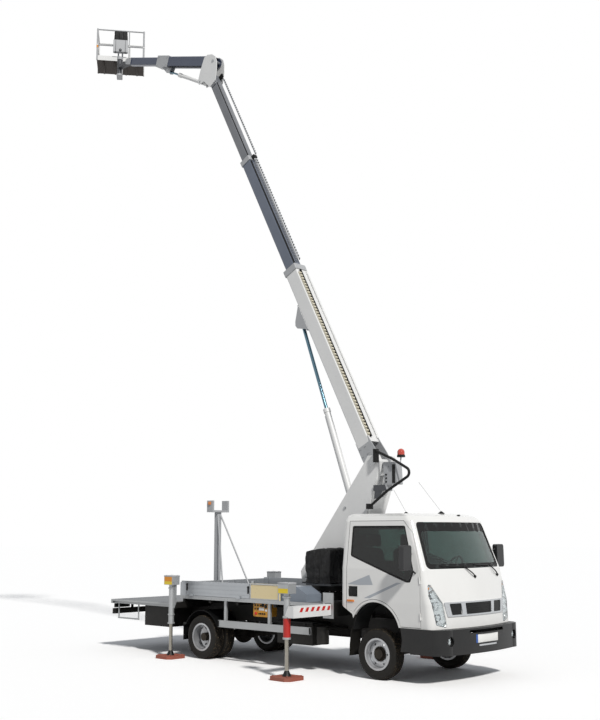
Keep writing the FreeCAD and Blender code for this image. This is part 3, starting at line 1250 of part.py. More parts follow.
def basket_console():
    """Covered control console that hangs on the basket's top rail."""
    x = -BASKET_NEAR
    z1 = BASKET_FLOOR + BASKET_H
    face = [(-138, z1 - 240), (138, z1 - 240), (124, z1 + 8), (-124, z1 + 8)]
    case = rounded_front(face, 30, x - 190, x + 20)
    rail = rod(V(x, -600, z1 - BASKET_TUBE_R), V(x, 600, z1 - BASKET_TUBE_R), BASKET_TUBE_R - 3 + SEAT_GAP)
    return basket_placed(case.cut(rail))


# ---------------------------------------------------------------- all sub-parts
def main():
    save("chassis_frame", chassis_frame())
    save("front_axle", front_axle())
    for name, sign in SIDES:
        save("knuckle_" + name, knuckle(sign))
    save("rear_axle", rear_axle())
    save("driveline", driveline())
    wheels()
    save("cab_shell", cab_shell())
    save("cab_glass", cab_glass())
    right_door, right_window, right_mirror = door(), door_window(), mirror()
    for stem, shape in (("door_", right_door), ("door_window_", right_window), ("mirror_", right_mirror)):
        save(stem + "right", shape)
        save(stem + "left", mirrored(shape))
    save("cab_interior", cab_interior())
    save("front_bumper", front_bumper())
    save("grille", grille())
    save("headlamps", headlamps())
    save("subframe", subframe())
    for name, sign in SIDES:
        save("front_beam_" + name, front_beam(sign))
        save("front_jack_" + name, jack_leg(FRONT_JACK_X, sign * FRONT_JACK_Y))
        save("rear_jack_" + name, jack_leg(REAR_JACK_X, sign * REAR_JACK_Y))
    save("deck", deck())
    board = side_board()
    save("side_board_right", board)
    save("side_board_left", mirrored(board))
    save("bed_fittings", bed_fittings())
    save("boom_rest", boom_rest())
    save("rear_platform", rear_platform())
    save("guards", guards())
    save("tanks", tanks())
    save("control_box", control_box())
    save("slew_base", slew_base())
    save("turret", turret())
    save("turret_console", turret_console())
    save("turret_cover", turret_cover())
    save("hose_loop", hose_loop())
    save("boom_base", boom_base())
    save("boom_mid", boom_mid())
    save("boom_inner", boom_inner())
    lift_cylinder()
    save("jib_outer", jib_outer())
    save("jib_inner", jib_inner())
    jib_cylinder()
    save("rotator", rotator())
    save("basket", basket())
    save("basket_console", basket_console())


main()
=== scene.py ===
import json
import math
from itertools import product

import bmesh
import bpy
from mathutils import Matrix, Vector, noise
from mathutils.bvhtree import BVHTree


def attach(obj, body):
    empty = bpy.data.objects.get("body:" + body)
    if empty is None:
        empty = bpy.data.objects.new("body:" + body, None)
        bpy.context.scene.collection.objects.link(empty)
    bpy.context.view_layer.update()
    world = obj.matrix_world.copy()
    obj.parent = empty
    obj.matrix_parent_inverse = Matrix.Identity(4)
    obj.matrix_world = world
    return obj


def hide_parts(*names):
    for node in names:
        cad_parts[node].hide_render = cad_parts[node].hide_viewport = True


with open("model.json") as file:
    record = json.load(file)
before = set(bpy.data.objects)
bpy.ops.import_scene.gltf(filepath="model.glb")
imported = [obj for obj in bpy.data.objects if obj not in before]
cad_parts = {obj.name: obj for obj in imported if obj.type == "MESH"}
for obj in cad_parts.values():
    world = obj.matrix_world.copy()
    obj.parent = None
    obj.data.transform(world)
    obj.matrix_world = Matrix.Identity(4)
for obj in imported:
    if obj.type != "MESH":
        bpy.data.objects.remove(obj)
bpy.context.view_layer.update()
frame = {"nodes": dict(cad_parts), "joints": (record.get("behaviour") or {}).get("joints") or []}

# Pieces are drawn in millimetres, in the frame's own axes, and turned to metres when they are done.
MM = 0.001
SIDES = (("right", -1), ("left", 1))
JOINTS = {joint["name"]: joint for joint in frame["joints"]}
NODES = frame["nodes"]


def pivot(joint):
    """Place of a joint in millimetres."""
    return Vector(JOINTS[joint]["pos_m"]) / MM


def standing(joint, slide):
    """Place of a boom that is drawn lying along -X from its pivot, lifted to the angle of its slide."""
    axis = JOINTS[slide]["axis"]
    lift = math.asin(-axis[2])
    return Matrix.Translation(pivot(joint)) @ Matrix.Rotation(lift, 4, "Y")


BOOM = standing("boom_lift", "boom_mid_slide")
JIB = standing("jib_lift", "jib_slide")
BASKET_TURN = -38.6                     # degrees from square to the jib
BASKET = Matrix.Translation(pivot("basket_turn")) @ Matrix.Rotation(math.radians(BASKET_TURN), 4, "Z")

TYRE_R = 325
FRONT_AXLE_X = 3400                     # the rear axle is at 0
ARCH_X, ARCH_Z = 3405, 590              # middle of the cab's wheel arch
SLEW_X, SLEW_TOP = 1900, 1130
BOOM_PIN, LIFT_PIN = (2840, 2911), (2307, 2250)
BEACON_X, BEACON_Y, BEACON_Z = 3254, -100, 2969     # foot of its lens
FRONT_JACK, REAR_JACK = (2510, 1645), (-442, 1132)
JACK_BORE = 42.5                        # inner radius of what goes round a jack's tube
LAMP_BACK = -2234                       # rear face of the rear lamps' cases
BASE_UNDERSIDE = 239                    # below the boom's pivot; what hangs lower is bracket
BASKET_FLOOR = 205                      # above the levelling pin
BASKET_NEAR, BASKET_FAR, BASKET_HALF = -170, -785, 460
ROUNDED_FROM = 0.7                      # radians between two faces; a flatter edge is not bevelled
SHADED_AS_EDGE = 38                     # degrees between two faces; a flatter edge is shaded smooth
BANDS = 6.283                           # at scale 1 / BANDS a wave texture has bands a metre wide
WORLD_LIGHT = 0.3
FLOOR_WHITE = 1.25                      # over 1, so that the lit floor is plain white
FLOOR_REACH, FLOOR_TOP = 120, -0.0006   # metres


# ---------------------------------------------------------------- materials
def linear(code):
    """Linear colour of an sRGB hex value."""
    parts = [int(code[i:i + 2], 16) / 255 for i in (1, 3, 5)]
    return [c / 12.92 if c <= 0.04045 else ((c + 0.055) / 1.055) ** 2.4 for c in parts] + [1.0]


def add(tree, kind, inputs=(), out=0, **settings):
    """Adds a node; gives one of its outputs, or all with out=None. An input is a value, or what feeds it."""
    node = tree.nodes.new(kind)
    for name, value in settings.items():
        setattr(node, name, value)
    for socket, value in dict(inputs).items():
        if isinstance(value, bpy.types.NodeSocket):
            tree.links.new(value, node.inputs[socket])
        else:
            node.inputs[socket].default_value = value
    return node.outputs[out] if node.outputs and out is not None else node.outputs


def start(name):
    """An empty material, its node tree and the place on the object in metres."""
    material = bpy.data.materials.new(name)
    material.use_nodes = True
    tree = material.node_tree
    tree.nodes.clear()
    return material, tree, add(tree, "ShaderNodeTexCoord", out="Object")


def blend_colour(tree, share, one, two):
    """Colour that goes from one to two with share; the result is an output."""
    inputs = {"Factor": share, 6: one, 7: two}
    return add(tree, "ShaderNodeMix", inputs, data_type="RGBA", out=2)


def shine(tree, colour, rough, bump, **constants):
    """Ends a tree in a Principled surface; constants go on its own sockets."""
    inputs = {"Base Color": colour, "Roughness": rough, "Normal": bump}
    inputs.update({name.replace("_", " "): value for name, value in constants.items()})
    surface = add(tree, "ShaderNodeBsdfPrincipled", inputs)
    add(tree, "ShaderNodeOutputMaterial", {"Surface": surface})


def finish(name, deep, pale, rough, grain, height, lay=(1, 1, 1), dust=0.0, dust_tone="#8B8172",
           worn=0.0, worn_tone="#6A5A4C", **constants):
    """A solid finish: two tones in slow clouds, a grain in gloss and height, road dust and worn specks.

    grain and height are in millimetres, lay stretches the grain along an axis, dust and worn run 0 to 1.
    """
    material, tree, place = start(name)
    laid = add(tree, "ShaderNodeMapping", {"Vector": place, "Scale": lay})
    cloud = add(tree, "ShaderNodeTexNoise", {"Vector": place, "Scale": 2.6, "Detail": 4.0})
    fine = add(tree, "ShaderNodeTexNoise", {"Vector": laid, "Scale": 1 / (grain * MM), "Detail": 3.0})
    colour = blend_colour(tree, cloud, linear(deep), linear(pale))
    if worn:
        # flakes a centimetre or two across, with ragged edges
        flake = add(tree, "ShaderNodeTexNoise", {"Vector": place, "Scale": 48.0, "Detail": 6.0})
        share = add(tree, "ShaderNodeMapRange", {0: flake, 1: 0.66, 2: 0.74, 3: 0.0, 4: worn})
        colour = blend_colour(tree, share, colour, linear(worn_tone))
    if dust:
        # thickest at the ground, gone above waist height
        height_z = add(tree, "ShaderNodeSeparateXYZ", {0: place}, out=2)
        low = add(tree, "ShaderNodeMapRange", {0: height_z, 1: 1.3, 2: 0.1, 3: 0.0, 4: dust})
        patch = add(tree, "ShaderNodeTexNoise", {"Vector": place, "Scale": 9.0, "Detail": 7.0})
        share = add(tree, "ShaderNodeMath", {0: low, 1: patch}, operation="MULTIPLY")
        colour = blend_colour(tree, share, colour, linear(dust_tone))
    gloss = add(tree, "ShaderNodeMapRange", {0: fine, 1: 0.3, 2: 0.7, 3: rough * 0.85, 4: rough * 1.2})
    bump = add(tree, "ShaderNodeBump", {"Height": fine, "Distance": height * MM, "Strength": 1.0})
    shine(tree, colour, gloss, bump, **constants)
    return material


def glazing(name, tint, ripple=0.0, rib=12.0):
    """Clear or tinted glass; ripple is the depth in millimetres of moulded ribs, rib millimetres wide."""
    material, tree, place = start(name)
    wave = add(tree, "ShaderNodeTexWave", {"Vector": place, "Scale": 1 / (rib * MM * BANDS),
                                           "Distortion": 0.6}, bands_direction="Z", out=1)
    haze = add(tree, "ShaderNodeTexNoise", {"Vector": place, "Scale": 5.0, "Detail": 5.0})
    gloss = add(tree, "ShaderNodeMapRange", {0: haze, 3: 0.0, 4: 0.05})
    bump = add(tree, "ShaderNodeBump", {"Height": wave, "Distance": ripple * MM})
    colour = blend_colour(tree, haze, linear(tint), [c * 0.94 for c in linear(tint)[:3]] + [1.0])
    shine(tree, colour, gloss, bump, Transmission_Weight=1.0, IOR=1.45)
    return material


def tarpaulin(name):
    """Black PVC-coated cloth. Its woven ground prints through the coat, in threads 4 mm wide so that it
    shows; the coat is dull with greyer rubbed places."""
    material, tree, place = start(name)
    weave = [add(tree, "ShaderNodeTexWave", {"Vector": place, "Scale": 1 / (4 * MM * BANDS)},
                 bands_direction=direction, out=1) for direction in ("X", "Z")]
    cross = add(tree, "ShaderNodeMath", {0: weave[0], 1: weave[1]}, operation="MULTIPLY")
    folds = {"Vector": place, "Scale": 14.0, "Detail": 5.0, "Distortion": 1.2}
    crease = add(tree, "ShaderNodeTexNoise", folds)
    rubbed = add(tree, "ShaderNodeMapRange", {0: crease, 1: 0.45, 2: 0.8})
    colour = blend_colour(tree, rubbed, linear("#050506"), linear("#17181B"))
    first = add(tree, "ShaderNodeBump", {"Height": crease, "Distance": 7 * MM})
    bump = add(tree, "ShaderNodeBump", {"Height": cross, "Distance": 0.3 * MM, "Normal": first})
    gloss = add(tree, "ShaderNodeMapRange", {0: crease, 3: 0.7, 4: 0.5})
    shine(tree, colour, gloss, bump, Specular_IOR_Level=0.3)
    return material


def woven(name, deep, pale, width):
    """Upholstery cloth: crossed threads, width millimetres wide, with sheen where it turns away."""
    material, tree, place = start(name)
    threads = [add(tree, "ShaderNodeTexWave", {"Vector": place, "Scale": 1 / (width * MM * BANDS)},
                   bands_direction=direction, out=1) for direction in ("X", "Y")]
    cross = add(tree, "ShaderNodeMath", {0: threads[0], 1: threads[1]}, operation="MAXIMUM")
    colour = blend_colour(tree, cross, linear(deep), linear(pale))
    bump = add(tree, "ShaderNodeBump", {"Height": cross, "Distance": 0.4 * MM})
    shine(tree, colour, 0.85, bump, Sheen_Weight=0.4, Sheen_Roughness=0.5)
    return material


def striped(name, one, two, pitch, lean, rough):
    """Reflective tape in slanting bars, pitch millimetres from one to the next of its colour."""
    material, tree, place = start(name)
    turned = add(tree, "ShaderNodeMapping", {"Vector": place, "Rotation": (math.radians(lean), 0, 0)})
    across = add(tree, "ShaderNodeSeparateXYZ", {0: turned}, out=1)
    share = add(tree, "ShaderNodeMath", {0: across, 1: 1 / (pitch * MM)}, operation="MULTIPLY")
    bar = add(tree, "ShaderNodeMath", {0: share}, operation="FRACT")
    hard = add(tree, "ShaderNodeMath", {0: bar, 1: 0.5}, operation="GREATER_THAN")
    grime = add(tree, "ShaderNodeTexNoise", {"Vector": place, "Scale": 30.0, "Detail": 6.0})
    faded = add(tree, "ShaderNodeMapRange", {0: grime, 1: 0.5, 2: 0.75, 3: 0.0, 4: 0.35})
    colour = blend_colour(tree, hard, linear(one), linear(two))
    colour = blend_colour(tree, faded, colour, linear("#9A948A"))
    bead = add(tree, "ShaderNodeTexVoronoi", {"Vector": place, "Scale": 400.0})
    bump = add(tree, "ShaderNodeBump", {"Height": bead, "Distance": 0.1 * MM})
    shine(tree, colour, rough, bump)
    return material


def tread_rubber(name):
    """Tyre rubber: near black and dull, with dry brown earth caked in patches."""
    material, tree, place = start(name)
    patch = add(tree, "ShaderNodeTexNoise", {"Vector": place, "Scale": 30.0, "Detail": 8.0})
    fine = add(tree, "ShaderNodeTexNoise", {"Vector": place, "Scale": 260.0, "Detail": 3.0})
    caked = add(tree, "ShaderNodeMapRange", {0: patch, 1: 0.5, 2: 0.66, 3: 0.08, 4: 0.85})
    colour = blend_colour(tree, caked, linear("#0D0D0C"), linear("#5C5040"))
    bump = add(tree, "ShaderNodeBump", {"Height": fine, "Distance": 0.5 * MM})
    gloss = add(tree, "ShaderNodeMapRange", {0: fine, 3: 0.75, 4: 0.95})
    shine(tree, colour, gloss, bump, Specular_IOR_Level=0.25)
    return material


# Rubber, plastics and dirty iron barely mirror.
DULL = {"Specular_IOR_Level": 0.25}

# Acrylic enamel sprayed on pressed steel: glossy white under a clear coat, faintly orange-peeled, a little
# road film low down.
cab_enamel = finish("cab_acrylic_enamel", "#E6E6E4", "#F0F0EE", 0.22, 4.0, 0.02, dust=0.22, Coat_Weight=0.6)
# Two-pack paint on welded plate: whiter and duller than the cab, with weld spatter and scuffs.
boom_enamel = finish("boom_two_pack_white", "#DFE0E0", "#EDEDEC", 0.34, 6.0, 0.05, worn=0.25, Coat_Weight=0.2)
# Grey primer-toned paint on the foot plates and brackets.
plate_grey = finish("plate_grey_paint", "#A3A5A8", "#B6B8BA", 0.42, 5.0, 0.05, worn=0.3)
# Blue-grey paint on the middle boom section, polished in streaks where it slides.
slide_blue = finish("slide_blue_grey_paint", "#565E6D", "#6F7786", 0.3, 3.0, 0.03, lay=(1, 1, 0.08), worn=0.2)
slide_grey = finish("slide_grey_paint", "#686B70", "#808388", 0.3, 3.0, 0.03, lay=(1, 1, 0.08), worn=0.2)
jib_paint = finish("jib_slate_paint", "#353D52", "#464F63", 0.32, 3.0, 0.03, lay=(0.1, 1, 1), worn=0.25)
# Chassis black: satin paint on rolled steel, filmed with grey road dirt.
chassis_paint = finish("chassis_black_paint", "#070708", "#101112", 0.55, 5.0, 0.08, dust=0.1, worn=0.2,
                       **DULL)
cast_iron = finish("axle_cast_iron", "#0C0C0D", "#181716", 0.7, 1.6, 0.25, dust=0.15, **DULL)
# Galvanised steel: dull grey with soft spangle.
galvanised = finish("galvanised_steel", "#9A9D9F", "#B9BBBC", 0.45, 14.0, 0.03, dust=0.2, Metallic=0.55)
# Deck plate: trodden steel, grey and dry, scratched along the bed.
deck_plate = finish("deck_trodden_steel", "#63666A", "#7D8083", 0.6, 3.0, 0.12, lay=(0.15, 1, 1), worn=0.4,
                    worn_tone="#4A4642", Metallic=0.3)
# Anodised aluminium extrusion, brushed lengthwise.
board_alloy = finish("board_anodised_aluminium", "#9EA2A6", "#B4B7BA", 0.38, 1.2, 0.02, lay=(0.04, 1, 1),
                     worn=0.2, Metallic=0.75)
cream_paint = finish("board_cream_paint", "#E8D4A0", "#F1E0B4", 0.45, 5.0, 0.05, worn=0.3)
locker_paint = finish("locker_blue_grey_paint", "#77808C", "#8C95A0", 0.4, 5.0, 0.05, worn=0.3)
control_orange = finish("control_box_orange_paint", "#C98A25", "#D9A03A", 0.45, 4.0, 0.06, worn=0.5)
# Mould-textured polypropylene: charcoal, with a fine leather grain that scatters light.
bumper_pp = finish("bumper_moulded_polypropylene", "#0C0D0E", "#151618", 0.42, 2.2, 0.16, dust=0.1,
                   dust_tone="#5B5750", Specular_IOR_Level=0.35)
trim_black = finish("trim_black_plastic", "#070808", "#0E0F10", 0.45, 2.0, 0.05, **DULL)
dash_plastic = finish("dashboard_moulded_abs", "#151719", "#1E2023", 0.65, 1.8, 0.12, **DULL)
mirror_housing = finish("mirror_housing_plastic", "#131416", "#1F2022", 0.38, 2.0, 0.05)
seal_rubber = finish("window_seal_rubber", "#060607", "#0D0D0E", 0.6, 2.0, 0.05, **DULL)
hose_rubber = finish("hose_wrapped_rubber", "#090A0A", "#141415", 0.6, 3.0, 0.4, **DULL)
tyre_side = finish("tyre_sidewall_rubber", "#090909", "#121211", 0.65, 2.5, 0.12, dust=0.1,
                   dust_tone="#5F5546", **DULL)
tyre_tread = tread_rubber("tyre_tread_rubber")
# Wheel lacquer: metallic silver spray with fine flake.
rim_lacquer = finish("rim_silver_lacquer", "#A9ACB0", "#C4C6C9", 0.34, 0.8, 0.02, dust=0.3, Metallic=0.7)
hub_iron = finish("hub_rusty_iron", "#0F0E0D", "#211C18", 0.75, 2.0, 0.3, dust=0.25, **DULL)
grille_silver = finish("grille_satin_chrome", "#B4B7BA", "#C8CACC", 0.28, 2.0, 0.01, Metallic=0.85)
bright_chrome = finish("reflector_bright_chrome", "#D6D8DA", "#E6E7E8", 0.1, 8.0, 0.02, Metallic=1.0)
mirror_silver = finish("mirror_silvering", "#C9CCCF", "#D5D7D9", 0.03, 20.0, 0.0, Metallic=1.0)
# Nylon energy-chain links: cream on the base section, weathered grey higher up.
chain_cream = finish("chain_cream_nylon", "#CFC8B2", "#E2DCC8", 0.5, 2.0, 0.05, worn=0.3)
chain_grey = finish("chain_grey_nylon", "#A7AAAE", "#C2C4C6", 0.5, 2.0, 0.05, worn=0.3)
# Ground and chromed cylinder rod: dark, with a bluish oil film; the jack rods are older and straw-coloured.
rod_chrome = finish("rod_hard_chrome", "#4C6876", "#688391", 0.24, 3.0, 0.005, lay=(1, 1, 0.1), Metallic=1.0)
jack_rod = finish("jack_rod_worn_chrome", "#858178", "#A8A49A", 0.26, 2.0, 0.02, lay=(1, 1, 0.1), worn=0.6,
                  Metallic=0.9)
jack_red = finish("jack_sleeve_red_paint", "#A91E1A", "#BF2D24", 0.42, 4.0, 0.06, worn=0.6)
pad_red = finish("ground_pad_red_paint", "#8C3524", "#A5462F", 0.62, 5.0, 0.25, dust=0.5, worn=0.9)
zinc_steel = finish("pin_zinc_plated_steel", "#8E9092", "#A8AAAB", 0.32, 2.0, 0.03, Metallic=0.9)
dark_steel = finish("rotator_dark_steel", "#3A3C3F", "#505256", 0.45, 3.0, 0.06, worn=0.4, Metallic=0.5)
basket_paint = finish("basket_powder_coat", "#DCDDDC", "#EBEBEA", 0.4, 3.0, 0.06, worn=0.35,
                      worn_tone="#8A8C8E")
# Phenolic-faced birch plywood: dark brown film, pressed with a fine mesh.
floor_ply = finish("floor_phenolic_plywood", "#1D140E", "#291E16", 0.55, 2.5, 0.2, worn=0.15, **DULL)
yellow_tape = finish("reflective_yellow_tape", "#E9C81E", "#F4D935", 0.35, 1.2, 0.05)
orange_tape = finish("reflective_orange_tape", "#DB8A14", "#EE9B22", 0.35, 1.2, 0.05)
amber_lens = finish("amber_lens_acrylic", "#D9741A", "#E88A2C", 0.15, 3.0, 0.1, Coat_Weight=0.5)
red_lens = finish("red_lens_acrylic", "#8E1214", "#A61B1B", 0.15, 3.0, 0.1, Coat_Weight=0.5)
beacon_lens = finish("beacon_red_orange_acrylic", "#B82A12", "#CC3B1A", 0.12, 6.0, 0.2, Coat_Weight=0.7)
plate_white = finish("blank_plate_white", "#EDEDEA", "#F5F5F2", 0.35, 2.0, 0.02)
plate_blue = finish("blank_plate_blue", "#1A4FA0", "#2259AC", 0.35, 2.0, 0.02)
swoosh_grey = finish("door_vinyl_grey", "#A9AFB6", "#B7BCC2", 0.3, 3.0, 0.01)
button_red = finish("button_red_plastic", "#C0201C", "#D12A24", 0.35, 2.0, 0.02)
screen_glass = glazing("windscreen_teal_glass", "#93B8B2")
side_glass = glazing("side_window_dark_glass", "#46544F")
lamp_glass = glazing("lamp_clear_polycarbonate", "#F2F6F6", ripple=0.4, rib=14.0)
# The same black cloth hoods the basket console, which is a real cover, and the power pack, where its black is
# painted shade.
black_cloth_and_painted_shade = tarpaulin("tarpaulin_and_painted_shade")
seat_cloth = woven("seat_woven_polyester", "#131416", "#25272B", 5.0)
hazard_tape = striped("hazard_red_white_tape", "#F0EFEC", "#C8201E", 92, 32, 0.35)


def paint(node, finishes, pick=None):
    """Gives a CAD node its materials; pick returns the number of the one for a face's middle and normal."""
    mesh = NODES[node].data
    mesh.materials.clear()
    for item in finishes:
        mesh.materials.append(item)
    for face in mesh.polygons:
        face.material_index = pick(face.center / MM, face.normal) if pick else 0


# ---------------------------------------------------------------- drawing pieces
def smooth(points, steps=6):
    """A curve through the points."""
    pts = [Vector(p) for p in points]
    pts = [2 * pts[0] - pts[1]] + pts + [2 * pts[-1] - pts[-2]]
    result = []
    for a, b, c, d in zip(pts, pts[1:], pts[2:], pts[3:]):
        for k in range(steps):
            t = k / steps
            result.append(0.5 * (2 * b + (c - a) * t + (2 * a - 5 * b + 4 * c - d) * t ** 2
                                 + (3 * b - a - 3 * c + d) * t ** 3))
    return result + [pts[-2]]


def across(axis):
    """Two directions at right angles to an axis."""
    axis = Vector(axis).normalized()
    side = axis.cross(Vector((0, 0, 1)) if abs(axis.z) < 0.9 else Vector((1, 0, 0))).normalized()
    return side, axis.cross(side)


def span(sign, near, far):
    """Two distances from the middle line, taken to one side, in rising order."""
    return sorted((sign * near, sign * far))


def ring_of(count):
    """Angles of count points round a circle."""
    return [2 * math.pi * i / count for i in range(count)]


class Shape:
    """One mesh, drawn from closed solids in millimetres."""

    def __init__(self):
        self.mesh = bmesh.new()

    def loft(self, rings, ends=True, bevel=0.0):
        """Skin through rings of points, capped, or joined last to first."""
        rows = [[self.mesh.verts.new(p) for p in ring] for ring in rings]
        pairs = list(zip(rows, rows[1:])) + ([] if ends else [(rows[-1], rows[0])])
        faces = []
        for one, two in pairs:
            for i, corner in enumerate(one):
                j = (i + 1) % len(one)
                faces.append(self.mesh.faces.new((corner, one[j], two[j], two[i])))
        if ends:
            faces += [self.mesh.faces.new(rows[0][::-1]), self.mesh.faces.new(rows[-1])]
        for face in faces:
            face.normal_update()
        if bevel:
            edges = dict.fromkeys(edge for face in faces for edge in face.edges)
            sharp = [edge for edge in edges if edge.calc_face_angle(0) > ROUNDED_FROM]
            bmesh.ops.bevel(self.mesh, geom=sharp, offset=bevel, segments=2, profile=0.5, affect="EDGES",
                            clamp_overlap=True)
        return self

    def plate(self, outline, axis, low, high, **style):
        """Outline pushed from low to high along X (y, z points), Y (x, z points) or Z (x, y points)."""
        put = {"X": lambda p, d: (d, p[0], p[1]), "Y": lambda p, d: (p[0], d, p[1]),
               "Z": lambda p, d: (p[0], p[1], d)}[axis]
        return self.loft([[put(p, d) for p in outline] for d in (low, high)], **style)

    def block(self, x0, x1, y0, y1, z0, z1, **style):
        return self.plate([(x0, y0), (x1, y0), (x1, y1), (x0, y1)], "Z", z0, z1, **style)

    def turned(self, centre, axis, profile, count=32, **style):
        """Profile of (distance along the axis, radius) turned about it."""
        centre, axis = Vector(centre), Vector(axis).normalized()
        u, v = across(axis)
        spokes = [u * math.cos(a) + v * math.sin(a) for a in ring_of(count)]
        rings = [[centre + axis * along + spoke * radius for spoke in spokes] for along, radius in profile]
        return self.loft(rings, **style)

    def rod(self, start, end, radius, count=16, **style):
        start, end = Vector(start), Vector(end)
        profile = [(0, radius), ((end - start).length, radius)]
        return self.turned(start, end - start, profile, count, **style)

    def pipe(self, points, radius, count=10, **style):
        """Round bar along a curve."""
        pts = [Vector(p) for p in points]
        ways = [(b - a).normalized() for a, b in zip(pts[:1] + pts[:-1], pts[1:] + pts[-1:])]
        ways[0] = (pts[1] - pts[0]).normalized()
        u = across(ways[0])[0]
        rings = []
        for point, way in zip(pts, ways):
            u = (u - way * u.dot(way)).normalized()
            v = way.cross(u)
            rings.append([point + (u * math.cos(a) + v * math.sin(a)) * radius for a in ring_of(count)])
        return self.loft(rings, **style)

    def panel(self, rows, back, loop=False):
        """Thin panel through rows of points, with its other face moved by back."""
        fronts = [[self.mesh.verts.new(p) for p in row] for row in rows]
        backs = [[self.mesh.verts.new(Vector(p) + Vector(back)) for p in row] for row in rows]
        width = len(rows[0])
        columns = range(width) if loop else range(width - 1)
        face = self.mesh.faces.new
        for i in range(len(rows) - 1):
            for j in columns:
                k = (j + 1) % width
                face((fronts[i][j], fronts[i][k], fronts[i + 1][k], fronts[i + 1][j]))
                face((backs[i][j], backs[i + 1][j], backs[i + 1][k], backs[i][k]))
        for i in (0, -1):
            for j in columns:
                k = (j + 1) % width
                face((fronts[i][j], backs[i][j], backs[i][k], fronts[i][k]))
        for j in () if loop else (0, -1):
            for i in range(len(rows) - 1):
                face((fronts[i][j], fronts[i + 1][j], backs[i + 1][j], backs[i][j]))
        return self

    def done(self, name, body=None, finish_used=None, place=None, slot=None, stands_for=()):
        """The finished piece, riding on its body; without a body it is an item to repeat."""
        if place:
            bmesh.ops.transform(self.mesh, matrix=place, verts=self.mesh.verts)
        bmesh.ops.recalc_face_normals(self.mesh, faces=self.mesh.faces)
        bmesh.ops.scale(self.mesh, vec=(MM, MM, MM), verts=self.mesh.verts)
        mesh = bpy.data.meshes.new(name)
        self.mesh.to_mesh(mesh)
        self.mesh.free()
        return settle(name, mesh, body, finish_used, stands_for)


def settle(name, mesh, body, finish_used, stands_for=()):
    """Object for a finished mesh: shaded, given its material, and riding on its body."""
    mesh.materials.clear()
    if finish_used:
        mesh.materials.append(finish_used)
    mesh.shade_smooth()
    mesh.set_sharp_from_angle(angle=math.radians(SHADED_AS_EDGE))
    piece = bpy.data.objects.new(name, mesh)
    bpy.context.scene.collection.objects.link(piece)
    if body:
        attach(piece, body)
        if stands_for:
            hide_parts(*stands_for)
    return piece


def repeat_tree():
    """Geometry Nodes: an item drawn at its first place, stepped along a line and turned about a centre."""
    tree = bpy.data.node_groups.new("repeat_item", "GeometryNodeTree")
    sockets = {}
    new_socket = tree.interface.new_socket
    for name, kind in (("Item", "Object"), ("Count", "Int"), ("Step", "Vector"), ("Centre", "Vector"),
                       ("Axis", "Vector"), ("Turn", "Float"), ("Finish", "Material")):
        sockets[name] = new_socket(name, in_out="INPUT", socket_type="NodeSocket" + kind).identifier
    new_socket("Geometry", in_out="OUTPUT", socket_type="NodeSocketGeometry")
    given = add(tree, "NodeGroupInput", out=None)
    index = add(tree, "GeometryNodeInputIndex")
    angle = add(tree, "ShaderNodeMath", {0: index, 1: given["Turn"]}, operation="MULTIPLY")
    circling = {"Vector": given["Centre"], "Axis": given["Axis"], "Angle": angle}
    spun = add(tree, "ShaderNodeVectorRotate", circling)
    moved = add(tree, "ShaderNodeVectorMath", {0: given["Centre"], 1: spun}, operation="SUBTRACT")
    along = add(tree, "ShaderNodeVectorMath", {0: given["Step"], "Scale": index}, operation="SCALE")
    spot = add(tree, "ShaderNodeVectorMath", {0: moved, 1: along})
    points = add(tree, "GeometryNodePoints", {"Count": given["Count"], "Position": spot})
    item = add(tree, "GeometryNodeObjectInfo", {"Object": given["Item"]}, out="Geometry")
    turn = add(tree, "FunctionNodeAxisAngleToRotation", {"Axis": given["Axis"], "Angle": angle})
    copies = add(tree, "GeometryNodeInstanceOnPoints", {"Points": points, "Instance": item, "Rotation": turn})
    real = add(tree, "GeometryNodeRealizeInstances", {"Geometry": copies})
    dressed = add(tree, "GeometryNodeSetMaterial", {"Geometry": real, "Material": given["Finish"]})
    add(tree, "NodeGroupOutput", {0: dressed})
    return tree, sockets


REPEAT, REPEAT_SOCKETS = repeat_tree()


def repeat(name, item, body, finish_used, count, step=(0, 0, 0), centre=(0, 0, 0), axis=(0, 0, 1), turn=0.0):
    """Piece made of count copies of item, each moved on by step and turned by turn degrees."""
    holder = bpy.data.objects.new(name + "_maker", bpy.data.meshes.new(name + "_maker"))
    bpy.context.scene.collection.objects.link(holder)
    modifier = holder.modifiers.new("repeat", "NODES")
    modifier.node_group = REPEAT
    values = {"Item": item, "Count": count, "Step": [c * MM for c in step],
              "Centre": [c * MM for c in centre], "Axis": list(axis), "Turn": math.radians(turn),
              "Finish": finish_used}
    for socket, value in values.items():
        modifier[REPEAT_SOCKETS[socket]] = value
    graph = bpy.context.evaluated_depsgraph_get()
    mesh = bpy.data.meshes.new_from_object(holder.evaluated_get(graph))
    mesh.name = name
    for used in (holder, item):
        bpy.data.objects.remove(used)
    return settle(name, mesh, body, finish_used)


def surface_of(*nodes):
    """Search tree of CAD nodes, in metres."""
    vertices, faces = [], []
    for node in nodes:
        mesh, first = NODES[node].data, len(vertices)
        vertices += [v.co.copy() for v in mesh.vertices]
        faces += [[first + i for i in face.vertices] for face in mesh.polygons]
    return BVHTree.FromPolygons(vertices, faces)


def meet(tree, point, way):
    """Where a line from point first meets the surface, in millimetres."""
    hit = tree.ray_cast(Vector(point) * MM, Vector(way))[0]
    return hit / MM if hit else None


